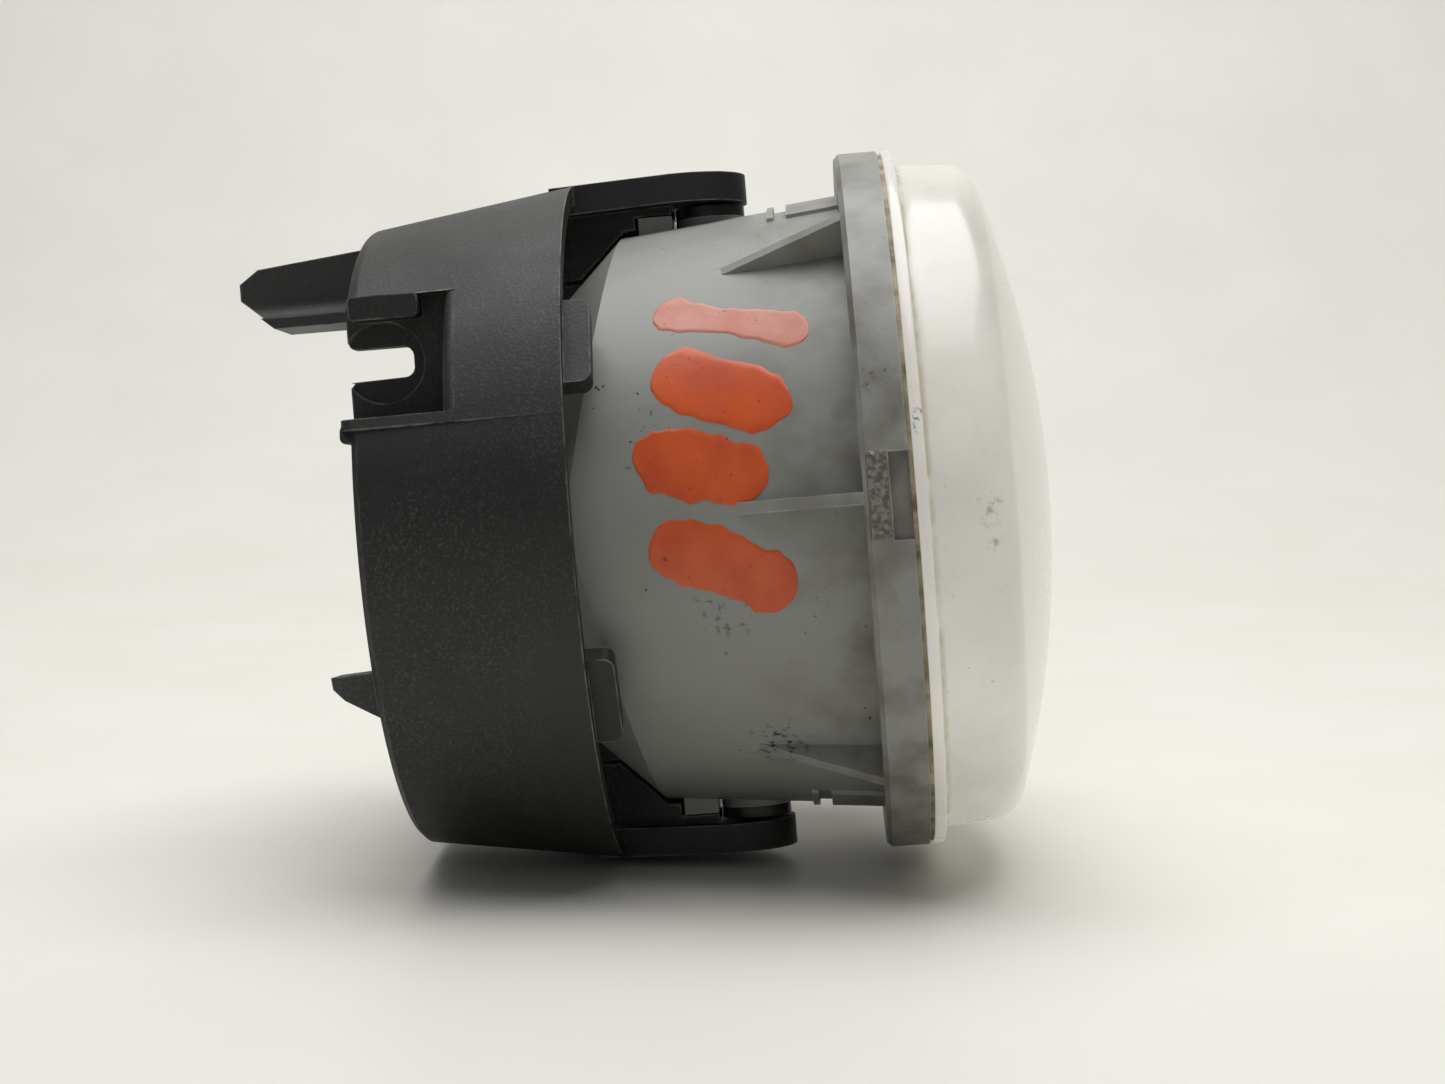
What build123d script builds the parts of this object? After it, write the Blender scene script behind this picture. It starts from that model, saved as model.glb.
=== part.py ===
"""Round fog lamp: sealed lamp unit, tilting in a moulded snap-in bracket.

Millimetres. +X is the optical axis, out through the lens; +Z is up.
The origin is the centre of the front rim face.  The lamp tilts about the
vertical pivot line, and a captive screw on the +Y side sets the tilt.
"""
import os
from math import cos, radians, sin, sqrt, tan

from build123d import *

# ---------------------------------------------------------------- clearances
RUNNING = 0.05          # radial play of a pin or shank that turns in a hole
MOVING = 0.3            # gap between pieces that move past each other
SNUG = 0.05             # gap round a piece that is pushed into a pocket
PAST = 1.0              # how far a cut or a core runs beyond the faces that it opens

# ------------------------------------------------------------------- housing
rim_radius = 50.0
rim_depth = 6.0
rim_chamfer = 0.7
rim_overhang = 6.3      # rim radius less the wall radius beside it
wall_length = 30.9
wall_draft = 3.0        # loss of radius along the wall
wall_thickness = 2.2
shoulder_angle = 44.0   # slope of the shoulders above and below
side_run = 8.2          # how much further back the wall reaches at the sides
neck_radius = 17.0
neck_length = 4.2
neck_collar = 2.8       # thickness of the collar that the bulb locks behind
notch_width = 11.3      # index notch in the rim's front edge
notch_length = 2.6
notch_depth = 1.4
land_height = 0.5       # raised land on the wall, above and below, next to the rim
land_length = 10.0
land_width = 32.0
land_groove = 1.8       # groove across the land
land_groove_place = 7.3 # from the rim's rear face
land_groove_depth = 0.9
rib_thickness = 1.6
rib_length = 16.5
rib_angles = (90, 40, 140, -40, -140)   # from +Z about +X; the ear's ribs take -90

# ------------------------------------------------------- lens and its groove
groove_width = 3.2
groove_depth = 4.0
groove_edge = 1.6       # rim left outside the groove
tongue_width = 2.0
tongue_gap = 0.8        # adhesive under the tongue's end
bead_thickness = 0.6    # adhesive between rim and lens flange
bead_setback = 0.4
flange_thickness = 1.6
flange_setback = 0.1
lens_side_setback = 2.3
lens_thickness = 2.4
lens_height = 21.0      # from the rim face to the middle of the dome
lens_dome_radius = 136.0
lens_corner_radius = 4.6
lens_side_draft = 0.5

# ----------------------------------------------------------------- reflector
reflector_thickness = 1.6
reflector_flange = 1.6
reflector_seat = 2.0    # ledge below the rim face
reflector_land = 1.4    # housing wall between ledge and groove
reflector_gap = 0.6     # air round the skirt
focal_length = 17.0
reflector_back_gap = 8.5
bulb_hole_radius = 11.0

# ---------------------------------------------------------------------- bulb
nose_radius = 10.3
nose_length = 9.6
seal_groove = 1.5
seal_width = 2.0
lug_reach = 2.1
lug_thickness = 2.0
lug_angle = 24.0
lug_count = 3
gate_play = 5.0         # extra angle of the gates that the lugs pass
lock_turn = 45.0        # quarter-turn style lock, in degrees
base_flange_radius = 15.5
base_flange_thickness = 2.6
socket_length = 8.8
socket_width = 22.0
socket_height = 15.0
socket_wall = 1.6
latch_length = 3.0      # ramp that the loom's plug snaps over
latch_width = 6.0
latch_setback = 2.0
blade_width = 6.3
blade_thickness = 0.8
blade_spacing = 9.4
blade_length = 7.2
glass_radius = 5.2
glass_thickness = 0.9
glass_lead = 7.5        # glass ahead of the filament's middle
collar_radius = 8.0
collar_length = 4.0
collar_sheet = 0.6
filament_radius = 0.8
filament_length = 5.2
glass_floor = 3.0       # pinched glass at the bulb's root
glass_tip_round = 0.85  # share of the glass radius that its tip's round takes up
lead_radius = 0.35
lead_offset = 2.6

# --------------------------------------------------------------- glare shield
shield_radius = 9.5
shield_length = 10.0
shield_corner = 1.5
shield_gap = 2.4        # between the bulb's tip and the closed end
sheet_thickness = 0.8
shield_foot_radius = 23.0
shield_foot_size = 8.0
shield_leg_width = 4.0
rivet_radius = 1.2
rivet_head_radius = 2.2
rivet_head_height = 0.9
rivet_grip = 3.0
rivet_head_round = 0.6

# ---------------------------------------------------------------------- vent
vent_radius = 27.0      # distance of the vent from the axis
vent_angle = -45.0
vent_tube_radius = 4.0
vent_bore_radius = 2.4
vent_cap_wall = 1.4
vent_cap_grip = 3.0     # length of tube inside the cap
vent_cap_round = 0.8
vent_cap_gap = 0.3      # from the cap's mouth to the tail
membrane_thickness = 0.4
membrane_rim = 0.6      # tube wall left bare round the membrane

# ------------------------------------------------------------------- bracket
ring_gap = 6.5          # from the end of the housing wall to the ring
ring_overhang = 8.0     # ring radius over the housing wall radius there
ring_length = 28.4
ring_taper = 4.2        # loss of radius along the ring
ring_thickness = 2.5
ring_edge_radius = 0.8
crown_reach = 1.5       # the ring's upper part reaches this much further back
crown_round = 2.2
arm_inset = 1.4         # arm face below the rim radius
arm_thickness = 4.1
arm_rise = 0.7          # the arm stands further out at the pivot than at the ring
arm_width = 17.0
arm_end_gap = 12.9      # from the rim's rear face to the arm's end
arm_root = 3.4          # arm buried in the ring
web_spacing = 9.0       # two webs under each arm
web_thickness = 1.8
web_gap = 0.6           # from a web to the housing, along Z
guide_angle = 30.5      # from the side, above and below
guide_width = 13.0
guide_thickness = 3.0
guide_reach = 3.6
guide_root = 4.0
guide_bite = 0.4        # guide buried in the ring's wall

# ----------------------------------------------- fixing seats in the bracket
seat_low = 15.6         # height of the pocket's lower step
seat_high = 32.2
seat_length = 12.4
seat_floor_inset = 0.3  # pocket floor inside the crown, at the pocket's upper edge
seat_thickness = 3.0
seat_wall = 2.5
seat_edge_round = 1.6   # where the pocket's front wall meets the ring's outside
slot_width = 4.1        # at its closed end
slot_flare = 0.3        # extra width at the mouth
slot_mouth_round = 1.0
slot_end_round = 1.4
slot_height = 23.45     # height of the slot's middle line
slot_depth = 7.2
washer_radius = 5.5
washer_centre = 3.2     # from the ring's rear edge
washer_depth = 0.7
lug_block_length = 9.4
lug_block_height = 3.2
lug_block_proud = 4.0
lug_block_setback = 0.5 # the block starts this far behind the ring's rear edge
lug_block_round = 0.7
pip_height = 2.6
pip_drop = 0.6          # from the pocket's lower step
pip_round = 0.9
hook_reach = 5.5
hook_top = -17.0
hook_fall = 0.9         # slope of the hook's upper face
hook_nose = 1.6         # blunt height of the nose
hook_chin = 1.3         # how far the chin stands behind the nose
hook_height = 6.8
hook_thickness = 4.5
hook_root = 9.8

# ------------------------------------------------------------- locating post
post_length = 22.0      # behind the ring
post_root = 13.0        # buried in the ring's wall
post_height = 11.2
post_drop = 1.0         # post's top below the ring's rear edge
post_taper = 2.0
post_web = 2.4
post_flange_width = 12.0
post_flange_thickness = 1.6
post_tip_length = 2.8
post_tip_height = 2.4
post_tip_drop = 5.2     # from the post's top to the middle of its tip
post_fillet = 2.6
post_plan_round = 3.6

# --------------------------------------------------------------------- pivot
pivot_setback = 18.4    # from the rim's rear face to the pivot line
pin_radius = 2.95
pin_head_radius = 4.4
pin_head_height = 1.5
pin_head_round = 0.6
pin_head_sink = 0.2     # head below the arm's face
pin_seat = 2.2          # depth of the pin in the housing pad
collar_flange_radius = 5.0   # the pin's shoulder, between pad and arm
pad_rise = 0.2          # flat top of the pad above the wall's highest point under it
step_length = 4.8       # raised step behind the pad
step_width = 12.0
step_height = 0.3       # above the pad

# ------------------------------------------------------------------ adjuster
screw_radius = 2.5
screw_inset = 1.7       # screw line inside the ring's front radius
screw_boss_radius = 5.0
screw_boss_length = 13.0
screw_boss_proud = 0.6
screw_tip = 8.0         # from the rim's rear face to the screw's tip
screw_point = 0.75
screw_flange_radius = 4.6
screw_flange_thickness = 1.4
hex_across_flats = 8.0
hex_height = 4.6
driver_room = 1.0       # round the screw's flange, for a driver from behind
drive_radius = 2.2
drive_depth = 3.0
clip_radius = 5.2
clip_thickness = 0.8
nut_play = 0.35         # lets the nut tilt on the screw
nut_size = 9.0
nut_length = 6.0
nut_flange = 10.4
nut_flange_thickness = 1.5
ear_thickness = 5.0
ear_width = 17.0

# ------------------------------------------------------------ worked-out places
slope = tan(radians(shoulder_angle))
wall_front_x = -rim_depth
wall_rear_x = wall_front_x - wall_length
wall_front_radius = rim_radius - rim_overhang
wall_rear_radius = wall_front_radius - wall_draft
side_corner_x = wall_rear_x - side_run
side_corner_radius = wall_rear_radius - side_run * wall_draft / wall_length
shoulder_reach = wall_rear_radius - side_run * slope
shoulder_offset = (side_corner_radius ** 2 - shoulder_reach ** 2) / (2 * shoulder_reach)
neck_start_x = wall_rear_x - (wall_rear_radius - neck_radius) / slope
tail_slope = (side_corner_radius - neck_radius) / (side_corner_x - neck_start_x)
neck_end_x = neck_start_x - neck_length
collar_x = neck_end_x + neck_collar
shoulder_shell = wall_thickness / cos(radians(shoulder_angle))
tail_shell = wall_thickness * sqrt(1 + tail_slope ** 2)
bore_radius = nose_radius + 0.1
lug_radius = bore_radius + lug_reach
neck_cavity_radius = lug_radius + 1.0
inner_rear_radius = wall_rear_radius - wall_thickness
groove_outer = rim_radius - groove_edge
groove_inner = groove_outer - groove_width
ledge_radius = groove_inner - reflector_land
tongue_outer = groove_outer - (groove_width - tongue_width) / 2
tongue_inner = tongue_outer - tongue_width
lens_side_radius = rim_radius - lens_side_setback
vertex_x = (wall_rear_x - inner_rear_radius / slope + focal_length / slope ** 2
            + reflector_back_gap)
filament_x = vertex_x + focal_length
glass_tip_x = filament_x + glass_lead
base_x = neck_end_x - MOVING
nose_x = base_x + nose_length
socket_x = base_x - base_flange_thickness
ring_front_x = wall_rear_x - ring_gap
ring_rear_x = ring_front_x - ring_length
ring_front_radius = wall_rear_radius + ring_overhang
ring_rear_radius = ring_front_radius - ring_taper
crown_x = ring_rear_x - crown_reach
arm_face = rim_radius - arm_inset
arm_inner = arm_face - arm_thickness
arm_end_x = wall_front_x - arm_end_gap
pivot_x = wall_front_x - pivot_setback
pad_top = (wall_front_radius - (pivot_setback - collar_flange_radius) * wall_draft / wall_length
           + pad_rise)
step_top = pad_top + step_height
screw_y = ring_front_radius - screw_inset
boss_front_x = ring_front_x + screw_boss_proud
boss_rear_x = boss_front_x - screw_boss_length
ear_rear_x = pivot_x - (nut_length - nut_flange_thickness) / 2
ear_front_x = ear_rear_x + ear_thickness
seat_floor = sqrt(ring_rear_radius ** 2 - seat_high ** 2) - seat_floor_inset
head_floor = arm_face - pin_head_sink - pin_head_height
seal_x = neck_end_x + neck_collar / 2
vent_y = vent_radius * cos(radians(vent_angle))
vent_z = vent_radius * sin(radians(vent_angle))
vent_cap_radius = vent_tube_radius + SNUG + vent_cap_wall
vent_end_x = (neck_start_x + (vent_radius - vent_cap_radius - neck_radius) / tail_slope
              - vent_cap_gap - vent_cap_grip)
vent_root_x = (neck_start_x + (vent_radius + vent_tube_radius - neck_radius) / tail_slope
               + 2 * wall_thickness)
foot_x = (vertex_x + (shield_foot_radius + shield_foot_size / 2) ** 2 / (4 * focal_length)
          + sheet_thickness)


# -------------------------------------------------------------------- helpers
def turned(*points):
    """Solid of revolution about the optical axis from (x, radius) points."""
    outline = make_face(Plane.XZ * Polyline(*points, close=True))
    return revolve(outline, axis=Axis.X)


def block(x, y, z):
    """Box between the given pairs of limits."""
    size = [high - low for low, high in (x, y, z)]
    middle = [(low + high) / 2 for low, high in (x, y, z)]
    return Pos(*middle) * Box(*size)


def rod(base, direction, radius, length):
    """Cylinder that starts at base and runs along direction."""
    align = (Align.CENTER, Align.CENTER, Align.MIN)
    return Plane(origin=base, z_dir=direction) * Cylinder(radius, length, align=align)


def side_profile(*points, half_width):
    """Plate from (x, z) points, centred on the XZ plane."""
    outline = make_face(Plane.XZ * Polyline(*points, close=True))
    return extrude(outline, amount=half_width, both=True)


def wall_radius_at(x):
    """Outer radius of the drafted housing wall."""
    return wall_front_radius + (x - wall_front_x) * wall_draft / wall_length


def bowl_x_at(radius):
    """Reflecting surface of the paraboloid."""
    return vertex_x + radius ** 2 / (4 * focal_length)


# -------------------------------------------------------------------- housing
def shoulder_cones(shell):
    """Where two wide cones meet: their axes stand apart, so they cut only top and bottom."""
    front_radius = wall_rear_radius + shoulder_offset - shell - wall_rear_x * slope
    cone = turned((0, 0), (0, front_radius), (-front_radius / slope, 0))
    return Pos(0, 0, -shoulder_offset) * cone & Pos(0, 0, shoulder_offset) * cone


def housing_form():
    """Outside of the rim, the drafted wall, the shoulders, the tail and the bulb neck."""
    drum = turned(
        (0, 0),
        (0, rim_radius),
        (wall_front_x + rim_chamfer, rim_radius),
        (wall_front_x, rim_radius - rim_chamfer),
        (wall_front_x, wall_front_radius),
        (side_corner_x, side_corner_radius),
        (neck_start_x, neck_radius),
        (neck_start_x, 0),
    )
    neck = rod((neck_end_x, 0, 0), (1, 0, 0), neck_radius, neck_length + neck_collar)
    return (drum & shoulder_cones(0)) + neck


def lamp_chamber():
    """Inside of the wall, the shoulders and the tail."""
    inner_draft = wall_draft / wall_length
    corner_run = (tail_shell - wall_thickness) / (tail_slope - inner_draft)
    corner_x = side_corner_x + corner_run
    tail_end_x = neck_start_x + (neck_cavity_radius + tail_shell - neck_radius) / tail_slope
    chamber = turned(
        (tail_end_x, 0),
        (tail_end_x, neck_cavity_radius),
        (corner_x, side_corner_radius - wall_thickness + corner_run * inner_draft),
        (-reflector_seat, wall_front_radius - wall_thickness),
        (-reflector_seat, 0),
    )
    return chamber & shoulder_cones(shoulder_shell)


def housing_cavity():
    """Bore, lock chamber, lamp chamber, reflector ledge and glue groove."""
    passage = turned(
        (neck_end_x - PAST, 0),
        (neck_end_x - PAST, bore_radius),
        (collar_x, bore_radius),
        (collar_x, neck_cavity_radius),
        (vertex_x, neck_cavity_radius),
        (vertex_x, 0),
    )
    mouth = turned(
        (-reflector_seat, 0),
        (-reflector_seat, ledge_radius),
        (-bead_setback, ledge_radius),
        (-bead_setback, groove_inner),
        (-groove_depth, groove_inner),
        (-groove_depth, groove_outer),
        (PAST, groove_outer),
        (PAST, 0),
    )
    return passage + lamp_chamber() + mouth


def housing_rib(angle):
    """Triangular gusset from the wall up to the rim."""
    rear_x = wall_front_x - rib_length
    rib = side_profile(
        (rear_x, wall_radius_at(rear_x) - wall_thickness / 2),
        (rear_x, wall_radius_at(rear_x)),
        (wall_front_x, rim_radius - rim_chamfer),
        (wall_front_x, wall_front_radius - wall_thickness / 2),
        half_width=rib_thickness / 2,
    )
    return Rot(X=angle) * rib


def adjuster_ear():
    """Ear on the +Y side that carries the nut, with two side ribs to the rim."""
    half = ear_width / 2
    root = sqrt((wall_rear_radius - wall_thickness / 2) ** 2 - half ** 2)
    top = screw_y + nut_flange / 2
    ear = block((ear_rear_x, ear_front_x), (root, top), (-half, half))
    outline = make_face(Polyline(
        (ear_rear_x, root),
        (ear_rear_x, top),
        (ear_front_x, top),
        (wall_front_x, sqrt((rim_radius - rim_chamfer) ** 2 - half ** 2)),
        (wall_front_x, root),
        close=True))
    for bottom in (-half, half - rib_thickness):
        ear += Pos(0, 0, bottom) * extrude(outline, amount=rib_thickness, dir=(0, 0, 1))
    pocket = nut_size / 2 + SNUG
    window = block((ear_rear_x - PAST, ear_front_x + PAST),
                   (screw_y - pocket, screw_y + pocket), (-pocket, pocket))
    return ear - window


def pivot_pad(side):
    """Round pad on the wall that takes the pivot pin, and the raised step behind it."""
    root = wall_radius_at(pivot_x - step_length * 2) - wall_thickness
    pad = rod((pivot_x, 0, side * root), (0, 0, side), collar_flange_radius, pad_top - root)
    end_x = pivot_x - collar_flange_radius - MOVING
    return pad + block((end_x - step_length, end_x), (-step_width / 2, step_width / 2),
                       sorted((side * root, side * step_top)))


def rim_lands():
    """Shallow lands above and below, between wall and rim, each with a groove across it."""
    def band(x_low, x_high, height):
        return turned((x_low, 0), (x_low, wall_radius_at(x_low) + height),
                      (x_high, wall_radius_at(x_high) + height), (x_high, 0))

    groove_x = wall_front_x - land_groove_place
    groove = band(groove_x - land_groove, groove_x, land_height + PAST)
    groove -= band(groove_x - land_groove, groove_x, land_height - land_groove_depth)
    spread = block((wall_front_x - land_length, wall_front_x), (-land_width / 2, land_width / 2),
                   (-rim_radius, rim_radius))
    return band(wall_front_x - land_length, wall_front_x, land_height) & spread, groove & spread


def lug_sector(angle, middle, radius, x_low, x_high):
    """Sector of a disc about the axis; middle is turned from +Z about +X."""
    half = radians(angle / 2)
    reach = radius / cos(half) + PAST
    wedge = make_face(Plane.YZ * Polyline(
        (0, 0),
        (reach * sin(half), reach * cos(half)),
        (-reach * sin(half), reach * cos(half)),
        close=True))
    prism = Pos(x_low, 0, 0) * extrude(wedge, amount=x_high - x_low, dir=(1, 0, 0))
    return Rot(X=middle) * prism & rod((x_low, 0, 0), (1, 0, 0), radius, x_high - x_low)


def lug_gates():
    """Gates in the collar that let the bulb's lugs through once it is unlocked."""
    gates = [lug_sector(lug_angle + gate_play, index * 360 / lug_count + lock_turn,
                        lug_radius + MOVING, neck_end_x - PAST, collar_x + PAST)
             for index in range(lug_count)]
    return gates[0] + gates[1:]


def housing():
    lands, grooves = rim_lands()
    body = housing_form() + lands - grooves
    for angle in rib_angles:
        body += housing_rib(angle)
    for side in (-1, 1):
        body += pivot_pad(side)
    body += adjuster_ear()
    body += rod((vent_end_x, vent_y, vent_z), (1, 0, 0), vent_tube_radius,
                vent_root_x - vent_end_x)
    body -= housing_cavity()
    body -= lug_gates()
    body -= rod((vent_end_x - PAST, vent_y, vent_z), (1, 0, 0), vent_bore_radius, wall_length)
    for side in (-1, 1):
        body -= rod((pivot_x, 0, side * pad_top), (0, 0, -side), pin_radius, pin_seat)
    body -= block((-notch_length, PAST), (-rim_radius - PAST, -rim_radius + notch_depth),
                  (-notch_width / 2, notch_width / 2))
    return body


# ------------------------------------------------------- lens and its adhesive
def dome(side_radius, apex_x, dome_radius, corner_radius, base_x):
    """Solid under a domed lens: near-straight side, rounded corner, shallow dome."""
    centre_x = apex_x - dome_radius
    top_radius = side_radius - lens_side_draft
    corner_x = centre_x + sqrt(dome_radius ** 2 - top_radius ** 2)
    middle = (centre_x + sqrt(dome_radius ** 2 - (top_radius / 2) ** 2), top_radius / 2)
    outline = make_face([
        Line((base_x, 0), (base_x, side_radius)),
        Line((base_x, side_radius), (corner_x, top_radius)),
        ThreePointArc((corner_x, top_radius), middle, (apex_x, 0)),
        Line((apex_x, 0), (base_x, 0)),
    ])
    corner = outline.vertices().sort_by(Axis.X)[-2]
    return revolve(Plane.XZ * fillet(corner, corner_radius), axis=Axis.X)


def lens():
    outside = dome(lens_side_radius, lens_height, lens_dome_radius, lens_corner_radius,
                   bead_thickness)
    inside = dome(lens_side_radius - lens_thickness, lens_height - lens_thickness,
                  lens_dome_radius - lens_thickness, lens_corner_radius - lens_thickness,
                  bead_thickness - PAST)
    edge = turned(
        (-groove_depth + tongue_gap, tongue_inner),
        (-groove_depth + tongue_gap, tongue_outer),
        (bead_thickness, tongue_outer),
        (bead_thickness, rim_radius - flange_setback),
        (bead_thickness + flange_thickness, rim_radius - flange_setback),
        (bead_thickness + flange_thickness, tongue_inner),
    )
    return outside - inside + edge


def lens_adhesive():
    """Cured bead: fills the groove round the tongue and oozes under the flange."""
    return turned(
        (-groove_depth, groove_inner),
        (-groove_depth, groove_outer),
        (0, groove_outer),
        (0, rim_radius - bead_setback),
        (bead_thickness, rim_radius - bead_setback),
        (bead_thickness, tongue_outer),
        (-groove_depth + tongue_gap, tongue_outer),
        (-groove_depth + tongue_gap, tongue_inner),
        (-bead_setback, tongue_inner),
        (-bead_setback, groove_inner),
    )


# ------------------------------------------------------------------- reflector
def bowl(back_shift, mouth_radius, skirt_radius, front_x):
    """Solid that fills a paraboloid and the drafted skirt in front of it."""
    mouth_x = bowl_x_at(mouth_radius) - back_shift
    vertex = vertex_x - back_shift
    outline = make_face([
        Bezier((vertex, 0), (vertex, mouth_radius / 2), (mouth_x, mouth_radius)),
        Line((mouth_x, mouth_radius), (front_x, skirt_radius)),
        Line((front_x, skirt_radius), (front_x, 0)),
        Line((front_x, 0), (vertex, 0)),
    ])
    return revolve(Plane.XZ * outline, axis=Axis.X)


def reflector():
    front_x = -reflector_seat + reflector_flange
    skirt = wall_front_radius - wall_thickness - reflector_gap
    mouth = inner_rear_radius - reflector_gap
    outside = bowl(reflector_thickness, mouth, skirt, front_x)
    inside = bowl(0, mouth - reflector_thickness, skirt - reflector_thickness, front_x + PAST)
    flange = turned(
        (front_x, skirt - reflector_thickness / 2),
        (front_x, ledge_radius - MOVING),
        (-reflector_seat, ledge_radius - MOVING),
        (-reflector_seat, skirt - reflector_thickness / 2),
    )
    pad = rod((vertex_x, 0, -shield_foot_radius), (1, 0, 0), shield_foot_size / 2,
              foot_x - vertex_x)
    body = outside - inside + (pad & outside) + flange
    body -= rod((vertex_x - wall_length, 0, 0), (1, 0, 0), bulb_hole_radius, wall_length * 2)
    return body - rivet_shank()


# ---------------------------------------------------------------- glare shield
def rivet_shank():
    return rod((foot_x - rivet_grip, 0, -shield_foot_radius), (1, 0, 0), rivet_radius,
               rivet_grip + sheet_thickness)


def bulb_shield():
    """Pressed cap in front of the bulb, on one leg riveted to the reflector."""
    front = glass_tip_x + shield_gap + sheet_thickness
    rear = front - shield_length
    inner = shield_radius - sheet_thickness
    cap = turned(
        (front, 0),
        (front, shield_radius - shield_corner),
        (front - shield_corner, shield_radius),
        (rear, shield_radius),
        (rear, inner),
        (front - shield_corner, inner),
        (front - sheet_thickness, inner - shield_corner / 2),
        (front - sheet_thickness, 0),
    )
    foot_top = -shield_foot_radius + shield_foot_size / 2
    leg = side_profile(
        (rear, -inner),
        (rear + 2 * sheet_thickness, -inner),
        (foot_x + 1.5 * sheet_thickness, foot_top),
        (foot_x, foot_top),
        half_width=shield_leg_width / 2,
    )
    foot = block((foot_x, foot_x + sheet_thickness),
                 (-shield_foot_size / 2, shield_foot_size / 2),
                 (foot_top - shield_foot_size, foot_top))
    return cap + leg + foot - rivet_shank()


def shield_rivet():
    head_x = foot_x + sheet_thickness
    head = rod((head_x, 0, -shield_foot_radius), (1, 0, 0), rivet_head_radius,
               rivet_head_height)
    head = fillet(head.edges().sort_by(Axis.X)[-1], rivet_head_round)
    return rivet_shank() + head


# ------------------------------------------------------------------------ bulb
def terminal_blades():
    blades = [block((socket_x - blade_length, socket_x + base_flange_thickness / 2),
                    (y - blade_thickness / 2, y + blade_thickness / 2),
                    (-blade_width / 2, blade_width / 2))
              for y in (-blade_spacing / 2, blade_spacing / 2)]
    return blades[0] + blades[1]


def bulb_base():
    """Moulded base: nose with seal groove and lugs, flange, grips and socket."""
    body = rod((base_x, 0, 0), (1, 0, 0), nose_radius, nose_length)
    groove = nose_radius - seal_groove
    body -= turned((seal_x - seal_width / 2, groove), (seal_x + seal_width / 2, groove),
                   (seal_x + seal_width / 2, nose_radius + PAST),
                   (seal_x - seal_width / 2, nose_radius + PAST))
    for index in range(lug_count):
        body += lug_sector(lug_angle, index * 360 / lug_count, lug_radius,
                           collar_x + MOVING, collar_x + MOVING + lug_thickness)
    body += rod((socket_x, 0, 0), (1, 0, 0), base_flange_radius, base_flange_thickness)
    end_x = socket_x - socket_length
    body += block((end_x, socket_x), (-socket_width / 2, socket_width / 2),
                  (-socket_height / 2, socket_height / 2))
    cavity_y = socket_width / 2 - socket_wall
    cavity_z = socket_height / 2 - socket_wall
    body -= block((end_x - PAST, socket_x), (-cavity_y, cavity_y), (-cavity_z, cavity_z))
    for side in (-1, 1):
        body += block((socket_x - socket_length / 2, socket_x),
                      sorted((side * socket_width / 2, side * (base_flange_radius - socket_wall))),
                      (-socket_wall / 2, socket_wall / 2))
    latch_x = end_x + latch_setback
    body += block((latch_x, latch_x + latch_length), (-latch_width / 2, latch_width / 2),
                  (socket_height / 2, socket_height / 2 + socket_wall))
    return body - terminal_blades()


def bulb_seal():
    cord = seal_groove / 2
    return Pos(seal_x, 0, 0) * Rot(Y=90) * Torus(nose_radius - cord, cord)


def bulb_collar():
    """Metal cup that holds the glass on the base."""
    top = nose_x + collar_length
    inner = collar_radius - collar_sheet
    return turned((nose_x, collar_radius), (top, collar_radius), (top, glass_radius),
                  (top - collar_sheet, glass_radius), (top - collar_sheet, inner), (nose_x, inner))


def glass_form(radius, x_low, x_high):
    """Tube with a rounded end."""
    tube = rod((x_low, 0, 0), (1, 0, 0), radius, x_high - x_low)
    return fillet(tube.edges().sort_by(Axis.X)[-1], radius * glass_tip_round)


def bulb_glass():
    outside = glass_form(glass_radius, nose_x, glass_tip_x)
    inside = glass_form(glass_radius - glass_thickness, nose_x + glass_floor,
                        glass_tip_x - glass_thickness)
    return outside - inside


def bulb_filament():
    return rod((filament_x - filament_length / 2, 0, 0), (1, 0, 0), filament_radius,
               filament_length)


def bulb_leads():
    """Two support wires, each bent in to one end of the filament."""
    floor_x = nose_x + glass_floor
    leads = []
    for side in (-1, 1):
        bend_x = filament_x + side * (filament_length / 2 + lead_radius)
        post = rod((floor_x, 0, side * lead_offset), (1, 0, 0), lead_radius,
                   bend_x + lead_radius - floor_x)
        arm = rod((bend_x, 0, side * lead_offset), (0, 0, -side), lead_radius, lead_offset)
        leads.append(post + arm)
    return leads[0] + leads[1]


# ------------------------------------------------------------------------ vent
def vent_membrane():
    return rod((vent_end_x - membrane_thickness, vent_y, vent_z), (1, 0, 0),
               vent_tube_radius - membrane_rim, membrane_thickness)


def vent_cap():
    """Rubber cap over the membrane, gripping the tube."""
    inner = vent_cap_radius - vent_cap_wall
    inside_x = vent_end_x - 2 * membrane_thickness
    outside_x = inside_x - vent_cap_wall
    mouth_x = vent_end_x + vent_cap_grip
    cap = rod((outside_x, vent_y, vent_z), (1, 0, 0), vent_cap_radius, mouth_x - outside_x)
    cap = fillet(cap.edges().sort_by(Axis.X)[0], vent_cap_round)
    return cap - rod((inside_x, vent_y, vent_z), (1, 0, 0), inner,
                     mouth_x - inside_x + PAST)


# --------------------------------------------------------------------- bracket
def mirrored(shape):
    """The shape and its mirror image on the far side."""
    return shape + mirror(shape, about=Plane.XZ)


def ring_form():
    """Outside of the bracket's tapered ring, filled; its crown reaches further back."""
    ring = turned(
        (ring_front_x, 0),
        (ring_front_x, ring_front_radius),
        (ring_rear_x + ring_edge_radius, ring_rear_radius),
        (ring_rear_x, ring_rear_radius - ring_edge_radius),
        (ring_rear_x, 0),
    )
    crown = turned((ring_front_x, 0), (ring_front_x, ring_front_radius),
                   (crown_x, ring_rear_radius), (crown_x, 0))
    crown = fillet(crown.edges().sort_by(Axis.X)[0], crown_round)
    above = block((crown_x, ring_front_x), (-ring_front_radius, ring_front_radius),
                  (seat_low - pip_drop - pip_round, ring_front_radius))
    return ring + (crown & above)


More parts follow.
